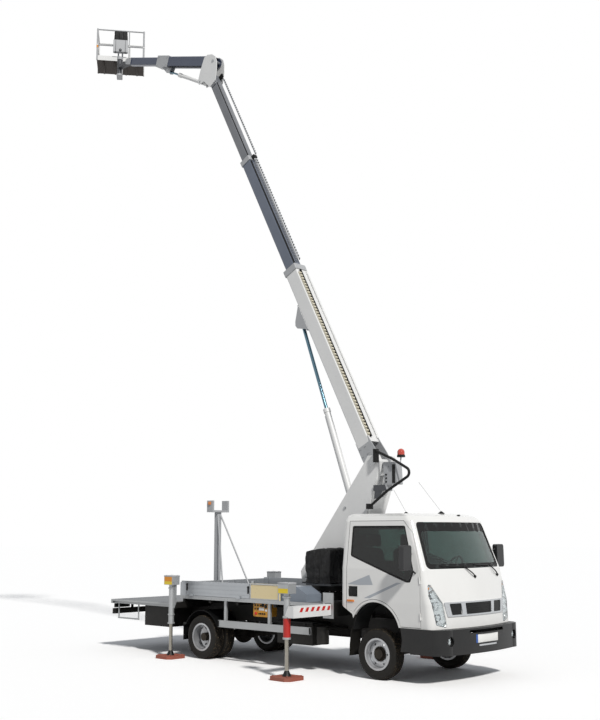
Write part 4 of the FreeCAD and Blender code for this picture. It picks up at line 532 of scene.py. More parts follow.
def edged(points, radius, steps=5, along=8):
    """Outline with rounded corners and points spread along its straight sides."""
    result, cuts = [], []
    pts = [Vector(p) for p in points]
    count = len(pts)
    for i, p in enumerate(pts):
        back, on = pts[i - 1] - p, pts[(i + 1) % count] - p
        before, after = back.normalized(), on.normalized()
        half = before.angle(after) / 2
        reach = min(radius / math.tan(half), back.length * 0.45, on.length * 0.45)
        cuts.append((p + before * reach, p, p + after * reach))
    for i, (enter, corner, leave) in enumerate(cuts):
        for k in range(steps):
            t = k / steps
            result.append(enter * (1 - t) ** 2 + corner * 2 * t * (1 - t) + leave * t * t)
        following = cuts[(i + 1) % count][0]
        result += [leave.lerp(following, k / along) for k in range(along)]
    return result


def inset(points, *gaps):
    """Outline moved inwards; one gap for all sides, or one for each, in order."""
    pts = [Vector(p) for p in points]
    count = len(pts)
    area = sum(pts[i - 1].x * pts[i].y - pts[i].x * pts[i - 1].y for i in range(count))
    gaps = list(gaps) * count if len(gaps) == 1 else list(gaps)
    lines = []
    for i, p in enumerate(pts):
        way = (pts[(i + 1) % count] - p).normalized()
        inward = Vector((-way.y, way.x)) * (1 if area > 0 else -1)
        lines.append((p + inward * gaps[i], way))
    result = []
    for i in range(count):
        (p, u), (q, v) = lines[i - 1], lines[i]
        cross = u.x * v.y - u.y * v.x
        result.append(p + u * ((q - p).x * v.y - (q - p).y * v.x) / cross)
    return result


def between(one, two, count):
    """Outlines in count steps from one to two."""
    return [[a.lerp(b, k / count) for a, b in zip(one, two)] for k in range(count + 1)]


# ---------------------------------------------------------------- CAD nodes
CAB_MIDDLE = Vector((3500, 0, 1450))


def local(place):
    """Turns a point of the frame into one of a boom's or the basket's own drawing."""
    back = place.inverted()
    return lambda point: back @ point


on_boom, on_jib, on_basket = local(BOOM), local(JIB), local(BASKET)


def around(point, spot, across_y=True):
    """Distance of a point from an upright line on either side, or from a pin that runs across."""
    return math.hypot(point.x - spot[0], abs(point.y) - spot[1] if across_y else point.z - spot[1])


# Each of these picks the number of a node's finish from a face's middle and normal.
def shell_face(point, normal):
    if normal.dot(point - CAB_MIDDLE) > 0:
        return 0
    return 1 if point.z > 1045 else 2


def door_face(point, normal):
    return 0 if normal.y * point.y > 0 or abs(normal.y) < 0.3 else 1


def mirror_face(point, normal):
    return int(normal.x < -0.99 and 4010.5 < point.x < 4015)


def grille_face(point, normal):
    opening = 860 < point.z < 998 and (abs(point.y) < 296 or 372 < abs(point.y) < 592)
    return int(opening and abs(normal.x) > 0.8)


def subframe_face(point, _):
    return int(abs(point.y) > 1040 or (abs(point.y) > 934 and point.x > 2500))


def beam_face(point, _):
    return int(around(point, FRONT_JACK) < 60 or point.z > 1095)


def jack_face(point, _):
    if point.z < 45.5:
        return 0
    boot = around(point, FRONT_JACK if point.x > 1000 else REAR_JACK) > 28
    return 1 if point.z < 116 and boot else 2


def deck_face(_, normal):
    return 0 if normal.z > 0.9 else (2 if normal.z < -0.9 else 1)


def fitting_face(point, _):
    if point.x > 1400 and -872 < point.y < 0:
        return 2
    return int(point.x > 1070 and abs(point.y) > 897)


def turret_face(point, _):
    if point.z < SLEW_TOP + 46:
        return 1
    near_pin = any(around(point, pin, False) < radius for pin, radius in ((BOOM_PIN, 64), (LIFT_PIN, 24)))
    return 2 if near_pin and abs(point.y) > 211 else 0


def console_face(point, _):
    if math.hypot(point.x - BEACON_X, point.y - BEACON_Y) < 60 and point.z > 2944:
        return 2 if point.z > BEACON_Z else 1
    return 3 if point.x < 3030 and point.z < 2562 else 0


def base_face(point, _):
    place = on_boom(point)
    return int(place.x > -329 or place.x < -3509 or place.z < -BASE_UNDERSIDE)


def inner_face(point, _):
    place = on_boom(point)
    if abs(place.y) > 100:
        return 2
    return int(place.x < -7779 and abs(place.y) > 74)


def jib_face(point, _):
    place = on_jib(point)
    return int(place.x < -1339 or place.z < -96 or (place.x > -161 and abs(place.y) > 74))


def basket_face(point, normal):
    place = on_basket(point)
    on_floor = BASKET_FLOOR - 1 < place.z < BASKET_FLOOR + 9 and abs(normal.z) > 0.9
    if on_floor and place.x < BASKET_NEAR:
        return 1
    return 2 if place.x > BASKET_NEAR + 7 else 0


def rim_face(centre_x, dark):
    """Picks the hub inside the radius dark."""
    return lambda point, _: int(around(point, (centre_x, TYRE_R), False) < dark)


for finish_used, nodes in (
        (chassis_paint, ("chassis_frame", "tanks", "slew_base")),
        (cast_iron, ("front_axle", "rear_axle", "driveline", "knuckle_right", "knuckle_left")),
        (screen_glass, ("cab_glass",)), (bumper_pp, ("front_bumper",)), (plate_grey, ("boom_rest",)),
        (control_orange, ("control_box",)), (hose_rubber, ("hose_loop",)), (dark_steel, ("rotator",)),
        (boom_enamel, ("lift_cylinder_barrel", "jib_cylinder_barrel")),
        (rod_chrome, ("lift_cylinder_rod", "jib_cylinder_rod")),
        (side_glass, ("door_window_right", "door_window_left")),
        (board_alloy, ("side_board_right", "side_board_left"))):
    for node in nodes:
        paint(node, [finish_used])
paint("cab_shell", [cab_enamel, dash_plastic, chassis_paint], shell_face)
paint("grille", [grille_silver, trim_black], grille_face)
paint("subframe", [chassis_paint, galvanised], subframe_face)
for node in ("deck", "rear_platform"):
    paint(node, [deck_plate, galvanised, chassis_paint], deck_face)
paint("bed_fittings", [board_alloy, cream_paint, locker_paint], fitting_face)
paint("guards", [galvanised, trim_black], lambda point, _: int(point.x <= 390))
paint("turret", [boom_enamel, dark_steel, zinc_steel], turret_face)
paint("turret_console", [plate_grey, trim_black, beacon_lens, dark_steel], console_face)
paint("boom_base", [boom_enamel, plate_grey], base_face)
paint("boom_mid", [slide_blue, plate_grey], lambda point, _: int(on_boom(point).x < -5879))
paint("boom_inner", [slide_grey, boom_enamel, zinc_steel], inner_face)
paint("jib_outer", [jib_paint, plate_grey], jib_face)
paint("jib_inner", [jib_paint, plate_grey], lambda point, _: int(on_jib(point).x < -2555))
paint("basket", [basket_paint, floor_ply, plate_grey], basket_face)
for side, sign in SIDES:
    paint("door_" + side, [cab_enamel, dash_plastic], door_face)
    paint("mirror_" + side, [mirror_housing, mirror_silver], mirror_face)
    paint("front_beam_" + side, [boom_enamel, galvanised], beam_face)
    for axle in ("front", "rear"):
        paint(f"{axle}_jack_{side}", [pad_red, trim_black, jack_rod], jack_face)
    paint("front_rim_" + side, [rim_lacquer, hub_iron], rim_face(FRONT_AXLE_X, 98))
    paint("rear_rims_" + side, [rim_lacquer, hub_iron], rim_face(0, 76))


# ---------------------------------------------------------------- tyres
# Section of a tyre from bead to bead: distance from its middle, radius.
HALF_CASING = [(79.3, 192), (79.3, 208), (84, 216), (92, 234), (97, 260), (95, 288), (88, 306), (80, 315),
               (64, 318), (30, 319)]
CASING = [(-a, r) for a, r in HALF_CASING] + [(a, r) for a, r in reversed(HALF_CASING)]
LUGS_ROUND = 58
FULL_TREAD = (324.3, 324.3)


def lug(shape, x, y, middle, length, width, low, high, skew):
    """Tread block on the top of a wheel; high falls towards the tyre's edge."""
    inner, outer = middle - width / 2, middle + width / 2
    foot, crown = [], []
    for a, top in ((inner, high[0]), (outer, high[1])):
        lean = skew * (a - middle)
        for t in (-length / 2, length / 2) if a == inner else (length / 2, -length / 2):
            foot.append((x + t + lean, y + a, TYRE_R + low))
            crown.append((x + (t + lean) * 0.97, y + a, TYRE_R + top))
    shape.loft([foot, crown], bevel=1.2)


def tyres(body, node, x, middles):
    """Casings and tread of the tyres on one hub, with their middles at middles across the truck."""
    casing, blocks = Shape(), Shape()
    for y in middles:
        casing.turned((x, y, TYRE_R), (0, 1, 0), CASING, 96, ends=False)
        for k, (middle, width, high) in enumerate((
                (-72, 22, (316, 323)), (-38, 29, FULL_TREAD), (0, 29, FULL_TREAD), (38, 29, FULL_TREAD),
                (72, 22, (323, 316)))):
            shift, skew = (8.5, 0.45) if k % 2 else (0, -0.45)
            lug(blocks, x + shift, y, middle, 24, width, 311, high, skew)
    casing.done(node + "_casing", body, tyre_side, slot="tyre", stands_for=(node,))
    item = blocks.done(node + "_lugs")
    repeat(node + "_tread", item, body, tyre_tread, LUGS_ROUND, centre=(x, 0, TYRE_R), axis=(0, 1, 0),
           turn=360 / LUGS_ROUND)


for side, sign in SIDES:
    tyres("front_wheel_" + side, "front_tyre_" + side, FRONT_AXLE_X, [sign * 785])
    tyres("rear_wheels_" + side, "rear_tyres_" + side, 0, [sign * 812, sign * 584])


# ---------------------------------------------------------------- cab, outside
WINDSCREEN = [(-838, 1432), (838, 1432), (770, 2032), (-770, 2032)]
SIDE_WINDOW = [(2975, 1585), (2975, 1985), (3868, 1985), (4052, 1400), (3995, 1262), (3925, 1262)]
LAMP = [(655, 700), (835, 745), (895, 1100), (880, 1235), (845, 1250), (700, 1010)]
glass_skin = surface_of("cab_glass")
shell_skin = surface_of("cab_shell")
front_skin = surface_of("cab_shell", "cab_glass")
bumper_skin = surface_of("front_bumper")
lens_skin = surface_of("headlamps")
grille_skin = surface_of("grille")


def from_front(tree, y, z, proud=0.0):
    """Point of the surface at y, z seen from ahead; past its edge, the depth of the nearest place."""
    hit = meet(tree, (5000, y, z), (-1, 0, 0))
    depth = hit.x if hit else tree.find_nearest(Vector((4300, y, z)) * MM)[0].x / MM
    return Vector((depth + proud, y, z))


outer = edged(inset(WINDSCREEN, 6), 56)
inner = edged(inset(WINDSCREEN, 62, 52, 118, 52), 50)
rows = [[from_front(glass_skin, p.x, p.y, 1.4) for p in ring] for ring in between(outer, inner, 4)]
Shape().panel(rows, (-1.1, 0, 0), loop=True).done("windscreen_border", "truck", seal_rubber, slot="glass")

for side, sign in SIDES:
    pane, door = surface_of("door_window_" + side), surface_of("door_" + side)
    outer = edged(inset(SIDE_WINDOW, 2), 33)
    inner = edged(inset(SIDE_WINDOW, 24, 24, 24, 30, 24, 24), 26)
    rows = [[meet(pane, (p.x, sign * 1500, p.y), (0, -sign, 0)) + Vector((0, sign * 1.6, 0)) for p in ring]
            for ring in between(outer, inner, 2)]
    Shape().panel(rows, (0, -sign * 1.3, 0), loop=True).done(
        "door_window_seal_" + side, "door_" + side, seal_rubber, slot="glass")

    # pull handle in its recess, and the amber marker below it
    handle = Shape()
    handle.block(2966, 3116, *span(sign, 914, 917), 1054, 1186, bevel=1)
    handle.block(2974, 3108, *span(sign, 917, 930), 1078, 1162, bevel=5)
    handle.done("door_handle_" + side, "door_" + side, trim_black, slot="bumper_plastic")
    face_y = meet(door, (3000, sign * 1500, 1000), (0, -sign, 0)).y
    marker = Shape().block(2945, 3065, *sorted((face_y + sign * 0.5, face_y + sign * 11)), 982, 1012, bevel=4)
    marker.done("door_marker_" + side, "door_" + side, amber_lens)

    # grey swoosh in vinyl, in two fields
    for number, field in enumerate((((2946, 1214), (3324, 1344), (3383, 1214), (3140, 1206)),
                                    ((3235, 1042), (3775, 1255), (3855, 1255), (3330, 1042)))):
        a, b, c, d = (Vector(p) for p in field)
        grid = [[a.lerp(b, i / 16).lerp(d.lerp(c, i / 16), j / 4) for i in range(17)] for j in range(5)]
        rows = [[meet(door, (p.x, sign * 1500, p.y), (0, -sign, 0)) + Vector((0, sign * 0.9, 0))
                 for p in line] for line in grid]
        Shape().panel(rows, (0, -sign * 0.6, 0)).done(
            f"door_swoosh_{number + 1}_{side}", "door_" + side, swoosh_grey)

    # head lamp: clear cover, chromed bowl with three cups, an amber bulb in the top corner
    outline = [(sign * y, z) for y, z in LAMP]
    edge = edged(inset(outline, 1.5), 25)
    middle = Vector((sign * 795, 985))
    lens, bowl = Shape(), Shape()
    for shape, depths in ((lens, ((1.0, 0), (0.8, 0), (0.6, 0), (0.4, 0), (0.2, 0), (0.02, 0))),
                          (bowl, ((0.985, 10), (0.93, 26), (0.8, 44), (0.6, 52), (0.3, 54), (0.02, 54)))):
        rows = []
        for scale, depth in depths:
            ring = [middle + (p - middle) * scale for p in edge]
            rows.append([from_front(lens_skin, p.x, p.y, -depth) for p in ring])
        shape.panel(rows, (-3, 0, 0), loop=True)
    for y, z, radius in ((800, 1115, 52), (785, 975, 58), (765, 835, 46)):
        back = from_front(lens_skin, sign * y, z, -56).x
        cup = [(0, 8), (2, radius * 0.5), (14, radius * 0.86), (34, radius), (36, radius), (36, radius - 3),
               (16, radius * 0.82), (4, radius * 0.46), (3, 4)]
        bowl.turned((back, sign * y, z), (1, 0, 0), cup, 40)
    lens.done("headlamp_cover_" + side, "truck", lamp_glass, slot="lamp", stands_for=("headlamps",))
    bowl.done("headlamp_bowl_" + side, "truck", bright_chrome, slot="lamp")
    bulb = from_front(lens_skin, sign * 858, 1190, -44)
    Shape().turned(bulb, (1, 0, 0), [(0, 6), (2, 17), (12, 19), (24, 13), (28, 4)], 24).done(
        "indicator_bulb_" + side, "truck", amber_lens)

    # fog lamp in its pod
    bowl = [(0, 20), (0, 57), (16, 58), (20, 58), (20, 54), (8, 40), (4, 20), (4, 8), (0, 8)]
    Shape().turned((4412, sign * 735, 545), (1, 0, 0), bowl, 40).done(
        "fog_lamp_bowl_" + side, "truck", bright_chrome, slot="lamp")
    Shape().turned((4428, sign * 735, 545), (1, 0, 0), [(0, 2), (0, 53), (4, 53), (9, 36), (11, 12), (11, 2)],
                   40).done("fog_lamp_glass_" + side, "truck", lamp_glass, slot="lamp")

    # mud flap behind the front wheel and the liner over it
    low, high = span(sign, 660, 876)
    flap = [[(x, y, z) for y in (low, high)] for x, z in ((2985, 640), (2962, 560), (2944, 420), (2938, 275))]
    Shape().panel(flap, (-6, 0, 0)).done("front_mud_flap_" + side, "truck", tyre_side)
    low, high = span(sign, 560, 874)
    arc = [math.radians(a) for a in range(4, 177, 4)]
    section = [(ARCH_X + r * math.cos(a), ARCH_Z + r * math.sin(a))
               for r, steps in ((400, arc), (396, arc[::-1])) for a in steps]
    liner = Shape().plate(section, "Y", low, high)
    liner.done("front_arch_liner_" + side, "truck", bumper_pp)


def wiper(name, foot_y, foot_z, tip_y, tip_z, reach):
    """Pivot below the glass, arm up to it and blade along its foot."""
    shape = Shape()
    foot = from_front(front_skin, foot_y, foot_z, 4)
    tip = from_front(front_skin, tip_y, tip_z, 22)
    shape.turned(foot - Vector((6, 0, 0)), (1, 0, 0.2), [(0, 20), (16, 20), (24, 13), (26, 4)], 20)
    middle = foot.lerp(tip, 0.4) + Vector((26, 0, 0))
    shape.pipe(smooth([foot + Vector((14, 0, 0)), middle, tip]), 8, 8)
    blade, rubber = [], []
    for k in range(9):
        y = tip_y + reach * (0.35 - k / 8)
        z = tip_z - 10 + 14 * k / 8
        blade.append(from_front(front_skin, y, z, 15 if 0 < k < 8 else 11))
        rubber.append(from_front(front_skin, y, z, 6))
    shape.pipe(blade, 6, 8)
    shape.pipe(rubber, 4, 6)
    shape.done(name, "truck", trim_black, slot="bumper_plastic")


wiper("wiper_right", 25, 1322, -190, 1462, 620)
wiper("wiper_left", 690, 1326, 480, 1470, 620)

# two whip aerials on wedge feet, and a short stub
for name, x, y, lean in (("front", 3848, 0, (-369, 440)), ("rear", 3250, 0, (-213, 349)),
                         ("stub", 3960, 250, None)):
    roof = meet(shell_skin, (x, y, 3000), (0, 0, -1))
    foot = Shape()
    if lean:
        foot.loft([[roof + Vector((a * s, b * s, h)) for a, b in ((-58, 0), (-30, -22), (40, -18), (58, 0),
                                                                  (40, 18), (-30, 22))]
                   for s, h in ((1, 0.4), (0.96, 8), (0.45, 26), (0.16, 36))], bevel=1)
        top = roof + Vector((lean[0], 0, lean[1]))
        Shape().pipe([roof + Vector((0, 0, 30)), roof.lerp(top, 0.5) + Vector((6, 0, 8)), top], 2.2, 8).done(
            f"aerial_whip_{name}", "truck", zinc_steel)
    else:
        foot.turned(roof, (0, 0, 1), [(0.4, 26), (8, 25), (16, 14), (18, 3)], 24)
    foot.done(f"aerial_foot_{name}", "truck", trim_black)

# grille bars, blank plate with a blue end, a bright strip under it
bar = [from_front(grille_skin, y, 872, 4.5) for y in range(-290, 291, 58)]
lean = from_front(grille_skin, 0, 990).x - from_front(grille_skin, 0, 872).x
item = Shape().pipe(bar, 4, 8).done("grille_bar")
repeat("grille_bars", item, "truck", trim_black, 6, step=(lean / 5, 0, 23.5))
Shape().block(4527.6, 4532, -212, 256, 501, 607, bevel=1).done("front_plate", "truck", plate_white)
Shape().block(4527.6, 4532, -256, -213, 501, 607, bevel=1).done("front_plate_end", "truck", plate_blue)
strip = [[from_front(bumper_skin, y, z, 2.5) for y in range(-200, 201, 40)] for z in (462, 482)]
Shape().panel(strip, (-2.2, 0, 0)).done("bumper_strip", "truck", grille_silver)


# ---------------------------------------------------------------- cab, inside
def cushion(name, low, high, channels, lean=0.0, box=5.0):
    """Crowned pad with sewn channels across it; lean tilts it backwards about its foot, in degrees."""
    shape = Shape()
    bmesh.ops.create_cube(shape.mesh, size=2)
    bmesh.ops.subdivide_edges(shape.mesh, edges=shape.mesh.edges, cuts=21, use_grid_fill=True)
    low, high = Vector(low), Vector(high)
    middle, half = (low + high) / 2, (high - low) / 2
    for vertex in shape.mesh.verts:
        p = vertex.co.copy()
        size = sum(abs(c) ** box for c in p) ** (1 / box)
        p = p / size
        pull = 1 - 0.035 * (1 - p.y * p.y) * (1 if abs(p.x) > 0.9 else 0)
        crown = 0.06 * (1 - p.x * p.x) * (1 - p.y * p.y)
        place = Vector((p.x * half.x * pull, p.y * half.y * pull, p.z * half.z))
        face = 2 if half.x > half.z else 0
        place[face] *= 0.94 + crown
        for at in channels:
            place[face] *= 1 - 0.16 * math.exp(-((p.y - at) / 0.035) ** 2)
        place[face] += noise.noise(place * 0.008) * 2.5
        vertex.co = middle + place
    if lean:
        foot = Vector((middle.x, 0, low.z))
        turn = (Matrix.Translation(foot) @ Matrix.Rotation(math.radians(-lean), 4, "Y")
                @ Matrix.Translation(-foot))
        bmesh.ops.transform(shape.mesh, matrix=turn, verts=shape.mesh.verts)
    piece = shape.done(name, "truck", seat_cloth, slot="seat_fabric", stands_for=("cab_interior",))


for seat, y0, y1, rests in (("bench", -800, -130, (-625, -305)), ("driver", 150, 720, (435,))):
    cuts = (-0.62, 0.0, 0.62) if len(rests) > 1 else (-0.6, 0.6)
    cushion(f"seat_{seat}_cushion", (2992, y0 + 4, 1060), (3498, y1 - 4, 1212), cuts)
    cushion(f"seat_{seat}_back", (2905, y0 + 4, 1192), (3035, y1 - 4, 1690), cuts, lean=6)
    for number, y in enumerate(rests):
        cushion(f"seat_{seat}_headrest_{number + 1}", (2884, y - 118, 1704), (2962, y + 118, 1872), ())
    stand = Shape()
    stand.block(3010, 3470, y0 + 30, y1 - 30, 1042, 1072, bevel=6)
    for y in rests:
        for off in (-60, 60):
            stand.rod((2930, y + off, 1660), (2924, y + off, 1760), 6)
    stand.done(f"seat_{seat}_stand", "truck", trim_black)

dash = Shape()
dash.plate([(3892, 985), (3802, 1190), (3852, 1322), (3950, 1378), (4076, 1362), (4076, 985)], "Y", -766, 766,
           bevel=14)
dash.plate([(3815, 1330), (3830, 1392), (3900, 1420), (3968, 1384), (3900, 1330)], "Y", 270, 600, bevel=12)
dash.block(3795, 3815, -60, 120, 1130, 1300, bevel=6)
for y in (-560, -90, 150, 690):
    dash.block(3822, 3842, y - 55, y + 55, 1262, 1302, bevel=4)
dash.block(3930, 4060, -350, 350, 802, 985, bevel=8)
dash.done("dashboard", "truck", dash_plastic, slot="bumper_plastic", stands_for=("cab_interior",))
wheel_middle, column_foot = Vector((3735, 430, 1400)), Vector((3960, 430, 1300))
axis = (wheel_middle - column_foot).normalized()
u, v = across(axis)
wheel = Shape()
spokes = [u * math.cos(a) + v * math.sin(a) for a in [math.radians(7.5 * i) for i in range(48)]]
wheel.loft([[wheel_middle + spoke * (185 + 14 * math.cos(b)) + axis * 14 * math.sin(b)
             for b in [math.radians(30 * j) for j in range(12)]] for spoke in spokes], ends=False)
wheel.turned(wheel_middle - axis * 26, axis, [(0, 30), (4, 60), (22, 66), (30, 52), (34, 6)], 32)
for angle in (0, 180, 270):
    spoke = u * math.cos(math.radians(angle)) + v * math.sin(math.radians(angle))
    wheel.pipe([wheel_middle + spoke * 40 - axis * 10, wheel_middle + spoke * 110,
                wheel_middle + spoke * 176], 11, 10)
wheel.rod(column_foot, wheel_middle - axis * 24, 26)
wheel.done("steering_wheel", "truck", trim_black, stands_for=("cab_interior",))


# ---------------------------------------------------------------- turret
def hood(name, body, low, high, node, place=None, seed=0.0, sag=14.0, lean=None):
    """Loose tarpaulin hood over a case: one cloth, open below, gathered in folds that grow towards its hem.

    sag is the fullness of the folds in millimetres; lean shifts a point of the hood to follow the case.
    """
    shape = Shape()
    bmesh.ops.create_cube(shape.mesh, size=2)
    bmesh.ops.subdivide_edges(shape.mesh, edges=shape.mesh.edges, cuts=47, use_grid_fill=True)
    open_end = [face for face in shape.mesh.faces if face.calc_center_median().z < -0.999]
    bmesh.ops.delete(shape.mesh, geom=open_end, context="FACES_ONLY")
    low, high = Vector(low), Vector(high)
    middle, half = (low + high) / 2, (high - low) / 2
    for vertex in shape.mesh.verts:
        p = vertex.co.copy()
        across_it = sum(abs(c) ** 10 for c in p.xy) ** 0.1
        top = max(p.z, 0)
        size = max((across_it ** 10 + top ** 10) ** 0.1, 1e-6)
        x, y = p.x / max(size, across_it), p.y / max(size, across_it)
        z = p.z / size if p.z > 0 else p.z
        out = Vector((x ** 9 / half.x, y ** 9 / half.y, max(z, 0) ** 9 / half.z))
        out.normalize()
        drop = (1 - z) / 2
        turn = math.atan2(y * half.y, x * half.x)
        spot = Vector((x * half.x, y * half.y, z * half.z)) + Vector((seed, seed, seed)) * 40
        wander = noise.noise(spot * 0.0035)
        fold = math.sin(turn * 8 + 3.0 * wander + seed) + 0.5 * math.sin(turn * 17 - 5.0 * wander)
        crumple = noise.noise(spot * 0.010) + 0.6 * noise.noise(spot * 0.024)
        push = sag * (-1.0 + (0.15 + 0.5 * drop) * fold + 0.45 * crumple)
        hem = sag * 0.35 * (1 + math.sin(turn * 5 + seed)) * max(drop - 0.9, 0) * 10
        spot = Vector((x * half.x, y * half.y, z * half.z)) + out * min(push, 0) + Vector((0, 0, hem))
        vertex.co = middle + (lean(spot, half) if lean else spot)
    if place:
        bmesh.ops.transform(shape.mesh, matrix=place, verts=shape.mesh.verts)
    bmesh.ops.recalc_face_normals(shape.mesh, faces=shape.mesh.faces)
    bmesh.ops.solidify(shape.mesh, geom=shape.mesh.faces[:], thickness=2.0)
    piece = shape.done(name, body, black_cloth_and_painted_shade, slot="cover_black", stands_for=(node,))


def over_power_pack(spot, half):
    """Leans the hood's rear edge forward and lets its top fall to the rear."""
    height = (spot.z + half.z) / (2 * half.z)
    back = max(0, (half.x * 0.6 - spot.x) / (half.x * 1.6))
    return Vector((spot.x + 14 * (1 - height) * back, spot.y, spot.z - 56 * height * back ** 1.5))


# Black hood over the power pack at the turret's foot, with a tie round it: its black is painted shade, a dark
# sheet put where the base of the turret lies in shade.
loop = []
for a in ring_of(40):
    size = (abs(math.cos(a)) ** 8 + abs(math.sin(a)) ** 8) ** (1 / 8)
    loop.append(Vector((2093 + 252 * math.cos(a) / size, -413 + 183 * math.sin(a) / size, 1262)))
cover_tie = Shape().pipe(loop, 5, 8, ends=False).done("power_pack_cover_tie", "turret", hose_rubber)
hood("power_pack_cover", "turret", (1826, -599, 1178), (2356, -233, 1699),
     "turret_cover", seed=3.0, sag=22.0, lean=over_power_pack)

# nuts under the slewing ring
nut = [(72, 11), (80, 11), (82, 9)]
item = Shape().turned((SLEW_X + 312, 0, SLEW_TOP + 1), (0, 0, -1), nut, 6).done("slew_nut")
repeat("slewing_ring_nuts", item, "truck", zinc_steel, 24, centre=(SLEW_X, 0, 0), turn=15)
trim = Shape()
for _, sign in SIDES:
    for (x, z), radius, face in ((BOOM_PIN, 30, 226.5), (LIFT_PIN, 18, 220.5)):
        cap = [(0, radius), (5, radius), (7, radius - 3), (7, 2)]
        trim.turned((x, sign * face, z), (0, sign, 0), cap, 24)
        trim.block(x - 8, x + 8, *span(sign, face, face + 11), z - 8, z + 8, bevel=2)
trim.done("turret_pin_caps", "turret", zinc_steel, slot="steel_dark")
console = Shape()
for z in (2600, 2650, 2700):
    console.turned((3095, -240.5, z), (0, -1, 0), [(0, 14), (8, 14), (12, 9), (20, 7), (22, 2)], 16)
console.block(3200, 3252, -244, -240.5, 2580, 2840, bevel=1.2)
console.turned((3225, -240.5, 2800), (0, -1, 0), [(3, 20), (14, 20), (18, 15), (20, 2)], 20)
console.done("turret_console_controls", "turret", trim_black, slot="bumper_plastic")
collar = [(0, 55), (7, 56), (10, 53), (0, 50)]
Shape().turned((BEACON_X, BEACON_Y, BEACON_Z), (0, 0, 1), collar, 32, ends=False).done(
    "beacon_collar", "turret", trim_black)


# ---------------------------------------------------------------- booms: chains, trays, pipes and bolts
def link(t, y, z, pitch, half_width, height):
    """Two side plates and a crossbar of an energy chain, on a boom's own drawing."""
    shape = Shape()
    outline = [(-t - pitch * a, z + height * b) for a, b in
               ((0.98, 0), (0, 0), (0, 0.3), (0.22, 0.45), (0.22, 1), (0.76, 1), (0.76, 0.45), (0.98, 0.3))]
    for s in (-1, 1):
        low, high = sorted((y + s * half_width, y + s * (half_width - 6)))
        shape.plate(outline, "Y", low, high, bevel=1)
    return shape.block(-t - pitch * 0.7, -t - pitch * 0.28, y - half_width + 5, y + half_width - 5,
                       z + height - 5, z + height - 1)


def chain(name, body, finish_used, t0, t1, y, z, half_width, height, pitch):
    """Energy chain from t0 to t1 out along the boom."""
    item = link(t0, y, z, pitch, half_width, height).done(name + "_link", place=BOOM)
    step = BOOM.to_3x3() @ Vector((-pitch, 0, 0))
    repeat(name, item, body, finish_used, int((t1 - t0) / pitch), step=step)


chain("base_energy_chain", "boom_base", chain_cream, 420, 3480, -88, 10.5, 22, 28, 56)
Shape().block(-3490, -400, -64, -42, 10.3, 44, bevel=3).done(
    "base_cable_tray", "boom_base", hose_rubber, place=BOOM, slot="rubber_black")
tube = Shape().rod((-380, 98, 26), (-3490, 98, 26), 14, 16)
for t in (420, 1180, 1940, 2700, 3440):
    tube.block(-t - 14, -t + 14, 80, 116, 9, 30, bevel=2)
tube.done("base_pipe", "boom_base", boom_enamel, place=BOOM, slot="boom_white")

chain("mid_energy_chain", "boom_mid", chain_grey, 3700, 5900, 0, 34, 34, 26, 56)
carrier = Shape().block(-5958, -5896, -38, 38, -1.5, 62, bevel=3)
for y in (-20, 20):
    carrier.rod((-3690, y, 41), (-5900, y, 41), 6, 10)
carrier.done("mid_carrier", "boom_mid", hose_rubber, place=BOOM)
chain("inner_energy_chain", "boom_inner", chain_grey, 6010, 7880, 62, 32, 14, 24, 52)
carrier = Shape().block(-7950, -7876, 48, 74, -36, 58, bevel=3)
carrier.rod((-6000, 62, 39), (-7880, 62, 39), 5, 10)
carrier.done("inner_carrier", "boom_inner", hose_rubber, place=BOOM)
for name, body, t0, t1, y0, y1, top, thick in (("mid_strip", "boom_mid", 3640, 5860, -90, -53, -14, 7),
                                               ("inner_strip", "boom_inner", 6000, 7760, -73, -53, -34, 6)):
    Shape().block(-t1, -t0, y0, y1, top + 0.3, top + thick, bevel=1).done(
        name, body, hose_rubber, place=BOOM, slot="rubber_black")

# bolts through the foot of the boom and through the jib's collar
for name, body, place, along, face, down, bolt in (
        ("boom_foot_bolts", "boom_base", BOOM, (-300, -180), 121.3, (90, 190),
         [(0, 12), (7, 12), (9, 9), (9, 2)]),
        ("jib_collar_bolts", "jib_outer", JIB, (-1380, -1640), 87.3, (-70, 70),
         [(0, 9), (6, 9), (8, 6), (8, 2)])):
    bolts = Shape()
    for s, x, d in product((-1, 1), along, down):
        bolts.turned((x, s * face, -d), (0, s, 0), bolt, 6)
    bolts.done(name, body, zinc_steel, place=place)

# oil pipe along the lift cylinder's barrel, with its two ends turned in
lift_foot = pivot("lift_barrel_pitch")
way = Vector([-c for c in JOINTS["lift_rod_slide"]["axis"]])
way = way if way.z > 0 else -way
inward = Vector((0, 1, 0)).cross(way).normalized()
ends = [lift_foot + way * along for along in (240, 1500)]
oil_pipe = Shape().rod(*[end - inward * 62 for end in ends], 9, 12)
for end in ends:
    oil_pipe.rod(end - inward * 62, end - inward * 40, 9, 12)
oil_pipe.done("lift_cylinder_pipe", "lift_barrel", zinc_steel, slot="steel_dark")

# hose along the jib's lower corner
hose = [(-190, -64, -84), (-220, -64, -104)] + [(x, -64, -107) for x in (-400, -900, -1300)]
Shape().pipe(smooth(hose), 10, 10).done("jib_hose", "jib_outer", hose_rubber, place=JIB, slot="rubber_black")


